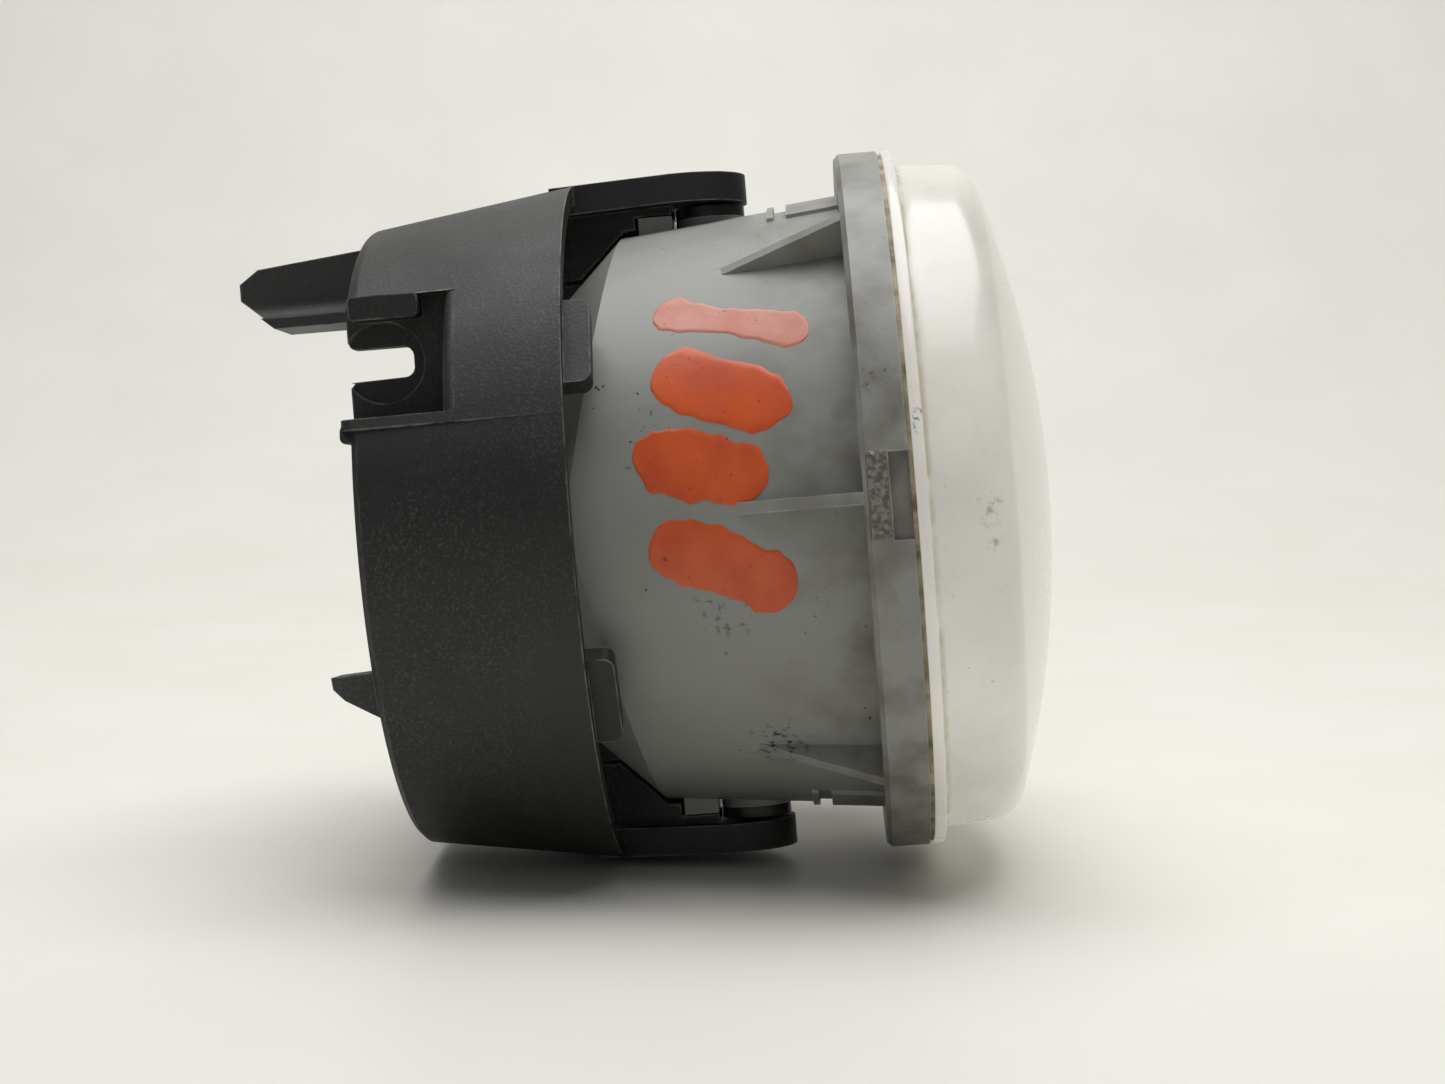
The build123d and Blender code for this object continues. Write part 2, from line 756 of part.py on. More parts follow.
def ring_hollow():
    return turned(
        (ring_front_x + PAST, 0),
        (ring_front_x + PAST, ring_front_radius - ring_thickness),
        (ring_rear_x, ring_rear_radius - ring_thickness),
        (crown_x - PAST, ring_rear_radius - ring_thickness),
        (crown_x - PAST, 0),
    )


def seat_form():
    """Walls and floor of one fixing pocket, before the pocket is opened."""
    return ring_form() & block(
        (crown_x, ring_rear_x + seat_length + seat_wall),
        (-ring_front_radius, -seat_floor + seat_thickness),
        (seat_low - seat_wall, seat_high + seat_wall))


def seat_opening():
    return block((crown_x - PAST, ring_rear_x + seat_length),
                 (-ring_front_radius - PAST, -seat_floor), (seat_low, seat_high))


def seat_edge():
    """Cutter that rounds the edge between the pocket's front wall and the ring's outside."""
    edge_x = ring_rear_x + seat_length
    centre_x = edge_x + seat_edge_round
    outer = ring_rear_radius + (centre_x - ring_rear_x) * ring_taper / ring_length
    centre_radius = outer - seat_edge_round
    corner = turned((edge_x - PAST, centre_radius), (edge_x - PAST, outer + PAST),
                    (centre_x, outer + PAST), (centre_x, centre_radius))
    corner -= Pos(centre_x, 0, 0) * Rot(Y=90) * Torus(centre_radius, seat_edge_round)
    return corner & block((edge_x - PAST, centre_x), (-outer - PAST, 0), (seat_low, seat_high))


def seat_slot():
    """Open-ended screw slot, narrower at its end, with a washer recess, along Y."""
    high = slot_height + slot_width / 2
    low = slot_height - slot_width / 2
    end_x = ring_rear_x + slot_depth
    deep = seat_thickness + 2 * PAST
    outline = make_face(Plane.XZ * Polyline(
        (crown_x - PAST, high), (end_x, high), (end_x, low), (crown_x - PAST, low - slot_flare),
        close=True))
    corners = outline.vertices().sort_by(Axis.X)[-2:]
    slot = extrude(fillet(corners, slot_end_round), amount=deep, dir=(0, -1, 0))
    mouth_x = crown_x + slot_mouth_round
    for edge, centre in ((high, high + slot_mouth_round),
                         (low - slot_flare, low - slot_flare - slot_mouth_round)):
        flare = block((crown_x - PAST, mouth_x), (-deep, 0), sorted((edge, centre)))
        slot += flare - rod((mouth_x, -deep, centre), (0, 1, 0), slot_mouth_round, deep)
    slot = Pos(0, -seat_floor + seat_thickness + PAST, 0) * slot
    return slot + rod((ring_rear_x + washer_centre, -ring_front_radius, slot_height), (0, 1, 0),
                      washer_radius, ring_front_radius - seat_floor + washer_depth)


def seat_lug():
    """Raised block along the pocket's upper edge."""
    start_x = ring_rear_x - lug_block_setback
    lug = block((start_x, start_x + lug_block_length), (-seat_floor - lug_block_proud, -seat_floor),
                (seat_high - lug_block_height, seat_high))
    return fillet(lug.edges().filter_by(Axis.Y), lug_block_round)


def rear_pip():
    """Rounded nib behind the ring, at the lower end of its crown."""
    outer = ring_rear_radius - ring_edge_radius
    top = seat_low - pip_drop
    inner = sqrt(outer ** 2 - top ** 2) - ring_thickness
    nib = block((crown_x, ring_rear_x + seat_wall), (-ring_front_radius, -inner),
                (top - pip_height, top))
    nib = fillet(nib.edges().filter_by(Axis.Y).sort_by(Axis.X)[:2], pip_round)
    return nib & rod((crown_x, 0, 0), (1, 0, 0), outer, ring_length)


def snap_hook():
    """Barbed finger inside the ring that snaps into the body panel."""
    bottom = hook_top - hook_height
    nose_x = ring_rear_x - hook_reach
    nose_top = hook_top - hook_fall
    outline = make_face(Plane.XZ * Polyline(
        (ring_rear_x + hook_root, hook_top),
        (nose_x, nose_top),
        (nose_x, nose_top - hook_nose),
        (nose_x + hook_chin, nose_top - 2 * hook_nose),
        (ring_rear_x, bottom),
        (ring_rear_x + hook_root, bottom),
        close=True))
    outer = ring_rear_radius - ring_edge_radius
    inner = sqrt((outer - ring_thickness) ** 2 - bottom ** 2) - hook_thickness / 3
    slab = block((nose_x, ring_rear_x + hook_root), (-outer, -inner), (bottom, hook_top))
    prism = extrude(outline, amount=outer, dir=(0, -1, 0))
    return prism & slab & rod((nose_x, 0, 0), (1, 0, 0), outer, hook_reach + hook_root)


def guide_tongue(angle):
    """Rounded tab in front of the ring; angle is turned from +Z about +X."""
    outer = ring_front_radius - ring_thickness + guide_bite
    tab = block((ring_front_x - guide_root, ring_front_x + guide_reach),
                (-guide_width / 2, guide_width / 2), (outer - guide_thickness, outer))
    corners = tab.edges().filter_by(Axis.Z).sort_by(Axis.X)[-2:]
    return Rot(X=angle) * fillet(corners, guide_thickness / 2)


def arm_plate():
    """Flat arm with a round end, rising a little from the ring to the pivot."""
    end = arm_width / 2
    root_x = ring_front_x - arm_root
    level_x = pivot_x - collar_flange_radius
    plate = side_profile(
        (root_x, arm_inner - arm_rise),
        (root_x, arm_face - arm_rise),
        (level_x, arm_face),
        (arm_end_x, arm_face),
        (arm_end_x, arm_inner),
        (level_x, arm_inner),
        half_width=end,
    )
    plan = block((root_x, arm_end_x - end), (-end, end), (0, rim_radius))
    plan += rod((arm_end_x - end, 0, 0), (0, 0, 1), end, rim_radius)
    return plate & plan


def arm_web(side):
    """Web under the arm, cut to clear the housing's shoulder and the step on its wall."""
    front_x = pivot_x - collar_flange_radius - MOVING
    step_x = front_x - step_length - web_gap
    corner_x = min(wall_rear_x, step_x - web_gap)
    web = side_profile(
        (ring_front_x - arm_root, wall_rear_radius - (wall_rear_x - ring_front_x) * slope + web_gap),
        (ring_front_x, wall_rear_radius - (wall_rear_x - ring_front_x) * slope + web_gap),
        (corner_x, wall_rear_radius + web_gap),
        (step_x, wall_radius_at(step_x) + web_gap),
        (step_x, step_top + MOVING),
        (front_x, step_top + MOVING),
        (front_x, arm_inner + PAST),
        (ring_front_x - arm_root, arm_inner + PAST),
        half_width=web_thickness / 2,
    )
    return Pos(0, side * web_spacing / 2, 0) * web


def arm():
    """Upper arm with its webs, its pin hole and the recess for the pin's head."""
    plate = arm_plate()
    for side in (-1, 1):
        plate += arm_web(side)
    plate -= rod((pivot_x, 0, pad_top), (0, 0, 1), pin_radius + RUNNING, rim_radius - pad_top)
    return plate - rod((pivot_x, 0, head_floor - MOVING), (0, 0, 1), pin_head_radius + MOVING,
                       arm_thickness)


def locating_post():
    """Rearward spike: upright web filleted into a flange along its lower edge."""
    top = ring_rear_radius - ring_edge_radius - post_drop
    bottom = top - post_height
    middle = top - post_tip_drop
    front_x = ring_rear_x + post_root
    tip_x = ring_rear_x - post_length
    web = post_web / 2
    half = post_flange_width / 2
    step = bottom + post_flange_thickness
    section = make_face(Plane.YZ * Polyline(
        (-half, bottom), (half, bottom), (half, step), (web, step), (web, ring_front_radius),
        (-web, ring_front_radius), (-web, step), (-half, step), close=True))
    corners = [vertex for vertex in section.vertices()
               if abs(vertex.Z - step) < SNUG and abs(vertex.Y) < half - SNUG]
    section = fillet(corners, post_fillet)
    beam = Pos(tip_x, 0, 0) * extrude(section, amount=front_x - tip_x, dir=(1, 0, 0))
    outline = side_profile(
        (front_x, top + ring_edge_radius * 2),
        (ring_rear_x, top),
        (tip_x + post_tip_length, top - post_taper),
        (tip_x, middle + post_tip_height / 2),
        (tip_x, middle - post_tip_height / 2),
        (tip_x + post_tip_length * 2, bottom),
        (front_x, bottom),
        half_width=half,
    )
    plan = block((tip_x, front_x), (-half, half), (bottom - PAST, ring_front_radius))
    plan = fillet(plan.edges().filter_by(Axis.Z).sort_by(Axis.X)[:2], post_plan_round)
    return beam & outline & plan


def bracket():
    body = ring_form() - ring_hollow()
    body += mirrored(seat_form())
    body -= mirrored(seat_opening())
    body -= mirrored(seat_edge())
    body += mirrored(seat_lug())
    body += mirrored(rear_pip())
    body -= mirrored(seat_slot())
    body += mirrored(snap_hook())
    for angle in (90 - guide_angle, 90 + guide_angle):
        body += mirrored(guide_tongue(angle))
    upper = arm()
    body += upper + mirror(upper, about=Plane.XY)
    body += locating_post()
    body += rod((boss_rear_x, screw_y, 0), (1, 0, 0), screw_boss_radius, screw_boss_length)
    body -= rod((crown_x - PAST, screw_y, 0), (1, 0, 0), screw_flange_radius + driver_room,
                boss_rear_x - crown_x + PAST)
    return body - rod((boss_rear_x - PAST, screw_y, 0), (1, 0, 0), screw_radius + RUNNING,
                      screw_boss_length + 2 * PAST)


# ---------------------------------------------------------------------- pivots
def pivot_pins():
    """Upper and lower pins: the shoulder sits on the housing, the head in the arm."""
    pin = rod((pivot_x, 0, pad_top - pin_seat), (0, 0, 1), pin_radius,
              head_floor - pad_top + pin_seat)
    pin += rod((pivot_x, 0, pad_top), (0, 0, 1), collar_flange_radius,
               arm_inner - MOVING - pad_top)
    head = rod((pivot_x, 0, head_floor), (0, 0, 1), pin_head_radius, pin_head_height)
    pin += fillet(head.edges().sort_by(Axis.Z)[-1], pin_head_round)
    return pin + mirror(pin, about=Plane.XY)


# -------------------------------------------------------------------- adjuster
def adjuster_screw():
    """Captive screw: hex head with a socket, flange, and a long plain-sized thread."""
    flange_x = boss_rear_x - MOVING
    head_x = flange_x - screw_flange_thickness
    tip_x = wall_front_x - screw_tip
    body = rod((flange_x, screw_y, 0), (1, 0, 0), screw_radius, tip_x - flange_x)
    body = chamfer(body.edges().sort_by(Axis.X)[-1], screw_point)
    body += rod((head_x, screw_y, 0), (1, 0, 0), screw_flange_radius, screw_flange_thickness)
    end = Plane(origin=(head_x, screw_y, 0), x_dir=(0, 0, 1), z_dir=(-1, 0, 0))
    hexagon = extrude(end * RegularPolygon(hex_across_flats / 2, 6, major_radius=False),
                      amount=hex_height)
    socket = extrude(end.offset(hex_height - drive_depth)
                     * RegularPolygon(drive_radius, 6, major_radius=False), amount=drive_depth)
    return body + hexagon - socket


def adjuster_clip():
    """Push-on washer that keeps the screw in its boss."""
    start = (boss_front_x + MOVING, screw_y, 0)
    return (rod(start, (1, 0, 0), clip_radius, clip_thickness)
            - rod(start, (1, 0, 0), screw_radius, clip_thickness))


def adjuster_nut():
    """Nylon nut pushed into the ear from behind."""
    half = nut_size / 2
    wide = nut_flange / 2
    body = block((ear_rear_x, ear_rear_x + nut_length), (screw_y - half, screw_y + half),
                 (-half, half))
    body += block((ear_rear_x - nut_flange_thickness, ear_rear_x),
                  (screw_y - wide, screw_y + wide), (-wide, wide))
    return body - rod((ear_rear_x - nut_flange_thickness - PAST, screw_y, 0), (1, 0, 0),
                      screw_radius + nut_play, nut_length + nut_flange_thickness + 2 * PAST)


# ---------------------------------------------------------------------- output
NODES = (
    bracket, housing, reflector, lens, lens_adhesive, bulb_shield, shield_rivet,
    bulb_base, bulb_seal, bulb_collar, bulb_glass, bulb_filament, bulb_leads,
    terminal_blades, vent_cap, vent_membrane, pivot_pins,
    adjuster_screw, adjuster_clip, adjuster_nut,
)

os.makedirs("parts", exist_ok=True)
for node in NODES:
    export_step(node(), f"parts/{node.__name__}.step")
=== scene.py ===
"""Round car fog lamp: a ribbed housing with a hazed lens, tilting in a black moulded bracket."""
from math import atan2, cos, pi, radians, sin, sqrt, tau

import bmesh
import bpy
from mathutils import Matrix, Vector, noise


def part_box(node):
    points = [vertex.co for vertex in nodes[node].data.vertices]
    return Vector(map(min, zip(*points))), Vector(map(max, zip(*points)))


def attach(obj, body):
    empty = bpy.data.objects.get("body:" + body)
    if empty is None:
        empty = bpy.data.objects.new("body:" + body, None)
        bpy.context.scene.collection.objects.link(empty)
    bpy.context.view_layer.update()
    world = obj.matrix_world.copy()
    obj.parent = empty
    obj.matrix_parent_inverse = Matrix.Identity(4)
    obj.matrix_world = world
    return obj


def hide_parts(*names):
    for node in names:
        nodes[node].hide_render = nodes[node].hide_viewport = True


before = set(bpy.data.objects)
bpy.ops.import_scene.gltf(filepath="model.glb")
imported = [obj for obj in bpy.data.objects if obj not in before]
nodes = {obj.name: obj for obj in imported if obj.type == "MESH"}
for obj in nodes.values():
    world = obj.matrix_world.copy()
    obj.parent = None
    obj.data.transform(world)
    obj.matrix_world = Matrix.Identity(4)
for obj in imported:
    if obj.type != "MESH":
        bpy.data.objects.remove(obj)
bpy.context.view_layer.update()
MM = 0.001


# ---------------------------------------------------------------- the housing
# One injection moulding in mid-grey mineral-filled polyester: rim, ribbed
# wall, rear cone and bulb neck, with the scar of its gate beside the notch.
# Satin, with brown road film by the rim and tar specks.
HOUSING_EDGE = 0.22 * MM
POLYESTER = ("#84847f", "#8f8f8b")
ROAD_FILM = "#5d584c"
TAR = "#26241f"
BARE_AND_HIGHLIT_POLYESTER = "#b4b3ad"
GATE_DIRT = ("#57534a", "#85827a")
# Crowds of tar specks: the middle of each on the housing, and how far it spreads.
TAR_CROWDS = (((-25, -40.5, -13.2), 5 * MM), ((-19.6, -28.7, -32), 6 * MM), ((-3, -48, 15), 3.2 * MM))
GATE_MIDDLE = (-4.1, -50, 0.2)
GATE_HALF = (1.4, 2.0, 5.7)


def linear(code):
    """sRGB hex to linear RGBA."""
    channels = [int(code[i:i + 2], 16) / 255 for i in (1, 3, 5)]
    return [c / 12.92 if c <= 0.04045 else ((c + 0.055) / 1.055) ** 2.4 for c in channels] + [1.0]


def add(tree, kind, links, output=None, **settings):
    """Adds a node with its settings and links, and gives back one of its outputs."""
    node = tree.nodes.new(kind)
    for key, value in settings.items():
        setattr(node, key, value)
    live = {socket.name: socket for socket in reversed(node.inputs) if socket.enabled}
    for key, value in links.items():
        socket = node.inputs[key] if isinstance(key, int) else live[key]
        if isinstance(value, bpy.types.NodeSocket):
            tree.links.new(value, socket)
        else:
            socket.default_value = linear(value) if isinstance(value, str) else value
    if output:
        return node.outputs[output]
    return next((socket for socket in node.outputs if socket.enabled), None)


def new_material(name):
    """An empty material, its node tree and its object coordinates."""
    material = bpy.data.materials.new(name)
    material.use_nodes = True
    tree = material.node_tree
    tree.nodes.clear()
    return material, tree, add(tree, "ShaderNodeTexCoord", {}, output="Object")


def patches(tree, place, size, start, end, most=1.0, detail=3.0):
    """Mask of ragged patches about size across; it rises from 0 at start to most at end."""
    lumps = add(tree, "ShaderNodeTexNoise", {"Vector": place, "Scale": 1 / size, "Detail": detail})
    return add(tree, "ShaderNodeMapRange",
               {"Value": lumps, "From Min": start, "From Max": end, "To Max": most})


def rubbed_edges(tree, place, width, most):
    """Mask of corners rubbed bright in broken runs."""
    soft = add(tree, "ShaderNodeBevel", {"Radius": width}, samples=6)
    true = add(tree, "ShaderNodeNewGeometry", {}, output="Normal")
    turn = add(tree, "ShaderNodeVectorMath", {0: soft, 1: true}, output="Value",
               operation="DOT_PRODUCT")
    corner = add(tree, "ShaderNodeMapRange", {"Value": turn, "From Min": 0.985, "From Max": 0.82})
    runs = patches(tree, place, 3 * MM, 0.36, 0.60, most, 5.0)
    return add(tree, "ShaderNodeMath", {0: corner, 1: runs}, operation="MULTIPLY")


def smudge(tree, place, centre, reach, size):
    """Mask of one broken smudge round a point."""
    gap = add(tree, "ShaderNodeVectorMath", {0: place, 1: Vector(centre) * MM}, output="Value",
              operation="DISTANCE")
    spot = add(tree, "ShaderNodeMapRange", {"Value": gap, "From Min": reach, "From Max": reach * 0.3})
    return add(tree, "ShaderNodeMath", {0: spot, 1: patches(tree, place, size, 0.56, 0.66, 1.0, 6.0)},
               operation="MULTIPLY")


def gate_scar(tree, place):
    """Mask of the torn strip, 3 mm wide and 11 mm long, where the gate was cut off the rim."""
    offset = add(tree, "ShaderNodeVectorMath", {0: place, 1: Vector(GATE_MIDDLE) * MM},
                 operation="SUBTRACT")
    inside = add(tree, "ShaderNodeVectorMath", {0: offset, 1: Vector(GATE_HALF) * MM},
                 operation="DIVIDE")
    inside = add(tree, "ShaderNodeVectorMath", {0: inside}, operation="ABSOLUTE")
    far = 0.0
    for direction in "XYZ":
        part = add(tree, "ShaderNodeSeparateXYZ", {"Vector": inside}, output=direction)
        far = add(tree, "ShaderNodeMath", {0: far, 1: part}, operation="MAXIMUM")
    return add(tree, "ShaderNodeMapRange", {"Value": far, "From Min": 1.0, "From Max": 0.92})


def grey_polyester():
    """Mineral-filled polyester: an even satin grey, cloudy with film where the rim traps dirt."""
    material, tree, place = new_material("grey_filled_polyester")
    cloud = patches(tree, place, 16 * MM, 0.30, 0.70)
    body = add(tree, "ShaderNodeMix", {"Factor": cloud, "A": POLYESTER[0], "B": POLYESTER[1]},
               data_type="RGBA")
    along = add(tree, "ShaderNodeSeparateXYZ", {"Vector": place}, output="X")
    near_rim = add(tree, "ShaderNodeMapRange",
                   {"Value": along, "From Min": -24 * MM, "From Max": -7 * MM, "To Max": 0.9})
    film = add(tree, "ShaderNodeMath", {0: near_rim, 1: patches(tree, place, 7 * MM, 0.44, 0.68, 0.8, 6.0)},
               operation="MULTIPLY")
    body = add(tree, "ShaderNodeMix", {"Factor": film, "A": body, "B": ROAD_FILM}, data_type="RGBA")
    # Tar specks of 0.5 mm in loose crowds, drawn at twice their size so that they show.
    specks = add(tree, "ShaderNodeMath", {0: patches(tree, place, 1.0 * MM, 0.68, 0.72),
                                          1: patches(tree, place, 11 * MM, 0.52, 0.62)}, operation="MULTIPLY")
    for centre, reach in TAR_CROWDS:
        specks = add(tree, "ShaderNodeMath", {0: specks, 1: smudge(tree, place, centre, reach, 1.1 * MM)},
                     operation="MAXIMUM")
    body = add(tree, "ShaderNodeMix", {"Factor": specks, "A": body, "B": TAR}, data_type="RGBA")
    scar = gate_scar(tree, place)
    crust = patches(tree, place, 0.7 * MM, 0.42, 0.60, 1.0, 5.0)
    dirt = add(tree, "ShaderNodeMix", {"Factor": crust, "A": GATE_DIRT[0], "B": GATE_DIRT[1]},
               data_type="RGBA")
    body = add(tree, "ShaderNodeMix", {"Factor": scar, "A": body, "B": dirt}, data_type="RGBA")
    # Edges rubbed pale where the polyester is worn bare, set strong so that they also paint the highlight on
    # the rib tops.
    rubbed = rubbed_edges(tree, place, 0.35 * MM, 0.8)
    body = add(tree, "ShaderNodeMix", {"Factor": rubbed, "A": body, "B": BARE_AND_HIGHLIT_POLYESTER}, data_type="RGBA")
    torn = add(tree, "ShaderNodeMath", {0: crust, 1: scar}, operation="MULTIPLY")
    normal = add(tree, "ShaderNodeBump", {"Height": torn, "Distance": 0.25 * MM, "Strength": 1.0})
    orange_peel = patches(tree, place, 0.5 * MM, 0.0, 1.0)
    normal = add(tree, "ShaderNodeBump", {"Height": orange_peel, "Distance": 0.006 * MM, "Normal": normal,
                                          "Strength": 1.0})
    gloss = add(tree, "ShaderNodeMapRange", {"Value": cloud, "To Min": 0.36, "To Max": 0.48})
    shader = add(tree, "ShaderNodeBsdfPrincipled", {"Base Color": body, "Roughness": gloss, "Normal": normal,
                                                    "IOR": 1.55})
    add(tree, "ShaderNodeOutputMaterial", {"Surface": shader})
    return material


def show(name, mesh, body, slot, material, *replaced):
    """Puts a finished mesh in the scene on its body, for the CAD nodes that it stands for."""
    piece = bpy.data.objects.new(name, mesh)
    bpy.context.scene.collection.objects.link(piece)
    mesh.materials.clear()
    mesh.materials.append(material)
    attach(piece, body)
    if replaced:
        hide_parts(*replaced)
    return piece


def shade(mesh, angle):
    """Smooth shading that breaks at edges sharper than the angle in degrees."""
    mesh.polygons.foreach_set("use_smooth", [True] * len(mesh.polygons))
    mesh.set_sharp_from_angle(angle=radians(angle))
    return mesh


def settled(draft):
    """A new mesh of the object with its modifiers worked out."""
    graph = bpy.context.evaluated_depsgraph_get()
    graph.update()
    return bpy.data.meshes.new_from_object(draft.evaluated_get(graph))


def rounded(node, name, edge, segments=2):
    """The node's solid with the small round that a mould or a die leaves on each edge."""
    mesh = nodes[node].data.copy()
    solid = bmesh.new()
    solid.from_mesh(mesh)
    bmesh.ops.remove_doubles(solid, verts=solid.verts, dist=0.002 * MM)
    bmesh.ops.dissolve_limit(solid, angle_limit=radians(0.6), verts=solid.verts, edges=solid.edges)
    solid.to_mesh(mesh)
    solid.free()
    draft = bpy.data.objects.new(name, mesh)
    bpy.context.scene.collection.objects.link(draft)
    rounding = draft.modifiers.new("edges", "BEVEL")
    rounding.width = edge
    rounding.segments = segments
    rounding.limit_method = "ANGLE"
    rounding.angle_limit = radians(30)
    rounding.miter_outer = "MITER_ARC"
    draft.data = shade(settled(draft), 28)
    draft.modifiers.clear()
    draft.modifiers.new("flats", "WEIGHTED_NORMAL").keep_sharp = True
    final = settled(draft)
    bpy.data.objects.remove(draft)
    final.name = name
    return final


show("housing_moulding", rounded("housing", "housing_moulding", HOUSING_EDGE), "lamp",
     "housing_plastic", grey_polyester(), "housing")


# --------------------------------------------------------------- the reflector
# A moulded bowl, vacuum-coated with aluminium under clear lacquer.  A bright
# mirror, with a slight waviness from the moulding underneath.
def dress(node, material):
    """Gives a CAD node its material, as it stands."""
    mesh = nodes[node].data
    mesh.materials.clear()
    mesh.materials.append(material)


def vacuum_aluminium():
    """Evaporated aluminium: cool white metal, with faint waves from the bowl below."""
    material, tree, place = new_material("vacuum_coated_aluminium")
    tone = add(tree, "ShaderNodeMix", {"Factor": patches(tree, place, 9 * MM, 0.3, 0.7), "A": "#c9cacc",
                                       "B": "#dcdcde"}, data_type="RGBA")
    gloss = add(tree, "ShaderNodeMapRange", {"Value": patches(tree, place, 4 * MM, 0.3, 0.7), "To Min": 0.08,
                                             "To Max": 0.16})
    waves = add(tree, "ShaderNodeBump", {"Height": patches(tree, place, 6 * MM, 0.0, 1.0, 1.0, 1.0),
                                         "Distance": 0.05 * MM, "Strength": 1.0})
    shader = add(tree, "ShaderNodeBsdfPrincipled", {"Base Color": tone, "Metallic": 1.0, "Roughness": gloss,
                                                    "Normal": waves})
    add(tree, "ShaderNodeOutputMaterial", {"Surface": shader})
    return material


dress("reflector", vacuum_aluminium())


# --------------------------------------------------- the bulb shield and rivet
# The shield is pressed from 0.8 mm stainless sheet, so it keeps the rolling
# grain; an aluminium rivet through its foot holds it to the bowl.
def rolled_steel():
    """Stainless sheet: grey metal with fine drawn lines and heat-tinted patches."""
    material, tree, place = new_material("rolled_stainless_sheet")
    drawn = add(tree, "ShaderNodeMapping", {"Vector": place, "Scale": (8.0, 60.0, 60.0)})
    # Rolling lines of 0.05 mm, drawn ten times coarser.
    lines = patches(tree, drawn, 30 * MM, 0.3, 0.7)
    tint = patches(tree, place, 7 * MM, 0.42, 0.66)
    tone = add(tree, "ShaderNodeMix", {"Factor": lines, "A": "#8f9092", "B": "#b3b3b1"}, data_type="RGBA")
    tone = add(tree, "ShaderNodeMix", {"Factor": tint, "A": tone, "B": "#8d8272"}, data_type="RGBA")
    gloss = add(tree, "ShaderNodeMapRange", {"Value": lines, "To Min": 0.26, "To Max": 0.40})
    shader = add(tree, "ShaderNodeBsdfPrincipled", {"Base Color": tone, "Metallic": 1.0, "Roughness": gloss})
    add(tree, "ShaderNodeOutputMaterial", {"Surface": shader})
    return material


def rivet_aluminium():
    """Soft aluminium: pale, dull, dimpled by the setting tool."""
    material, tree, place = new_material("soft_aluminium_rivet")
    marks = patches(tree, place, 0.8 * MM, 0.3, 0.7)
    tone = add(tree, "ShaderNodeMix", {"Factor": marks, "A": "#a5a6a8", "B": "#c4c5c6"}, data_type="RGBA")
    dimples = add(tree, "ShaderNodeBump", {"Height": marks, "Distance": 0.03 * MM, "Strength": 1.0})
    shader = add(tree, "ShaderNodeBsdfPrincipled", {"Base Color": tone, "Metallic": 1.0, "Roughness": 0.38,
                                                    "Normal": dimples})
    add(tree, "ShaderNodeOutputMaterial", {"Surface": shader})
    return material


show("pressed_shield", rounded("bulb_shield", "pressed_shield", 0.12 * MM), "lamp", "shield_steel",
     rolled_steel(), "bulb_shield")
dress("shield_rivet", rivet_aluminium())


# ------------------------------------------------------ the lens and its glue
# A pressed lens: shallow dome, tight corner, near-straight side and a wide
# edge flange, bedded in sealant that oozes at the rim.  Years of grit have
# hazed the lens milky and left dirt in its pits; a darker brownish line runs
# along its foot, and the lens is given a painted glow.
lens_low, lens_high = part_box("lens")
LENS_STEPS = 288
DOME_RADIUS = 136 * MM
DOME_CORNER = 4.6 * MM
LENS_WALL = 2.4 * MM
SIDE_RADIUS = 47.7 * MM
SIDE_DRAFT = 0.5 * MM
TONGUE = (45.8 * MM, 47.8 * MM)
GROOVE = (45.2 * MM, 48.4 * MM)
FLANGE = (0.6 * MM, 2.2 * MM)
MILKY = ("#a4a29b", "#b2b0a9")
PIT_DIRT = "#867d6a"
# Patches of dirty pits: the middle of each on the lens, and how far it spreads.
PIT_CROWDS = (((9.8, -47.4, -2.5), 2.6 * MM), ((9.9, -47.1, -6.3), 2.2 * MM),
              ((5.2, -45.5, -13.9), 1.4 * MM), ((4.9, -47.3, 1.5), 1.3 * MM))
FLANGE_SCUFF = (2.1, -49, 9.3)


def lathe(name, profile, steps, wander=None):
    """Closed ring mesh about the X axis from (x, radius) points."""
    shape = bmesh.new()
    rings = []
    for step in range(steps):
        angle = tau * step / steps
        ring = []
        for index, (x, radius) in enumerate(profile):
            extra = wander(index, angle) if wander else 0
            ring.append(shape.verts.new((x, (radius + extra) * sin(angle), (radius + extra) * cos(angle))))
        rings.append(ring)
    for step in range(steps):
        here, after = rings[step], rings[(step + 1) % steps]
        for index in range(len(profile)):
            other = (index + 1) % len(profile)
            shape.faces.new((here[index], here[other], after[other], after[index]))
    bmesh.ops.remove_doubles(shape, verts=shape.verts, dist=0.0001 * MM)
    bmesh.ops.dissolve_degenerate(shape, edges=shape.edges, dist=0.00001 * MM)
    bmesh.ops.recalc_face_normals(shape, faces=shape.faces)
    mesh = bpy.data.meshes.new(name)
    shape.to_mesh(mesh)
    shape.free()
    return mesh


def dome_line(apex, dome_radius, side_radius, corner_radius, base):
    """(x, radius) points from the axis, over the dome and corner, down the side."""
    centre = apex - dome_radius
    inner = side_radius - corner_radius
    corner_x = centre + sqrt((dome_radius - corner_radius) ** 2 - inner ** 2)
    lean = atan2(inner, corner_x - centre)
    points = [(centre + dome_radius * cos(lean * i / 20), dome_radius * sin(lean * i / 20))
              for i in range(21)]
    points += [(corner_x + corner_radius * cos(lean + (pi / 2 - lean) * i / 12),
                inner + corner_radius * sin(lean + (pi / 2 - lean) * i / 12)) for i in range(1, 13)]
    points += [(corner_x + (base - corner_x) * i / 5, side_radius + SIDE_DRAFT * i / 5)
               for i in range(1, 6)]
    return points


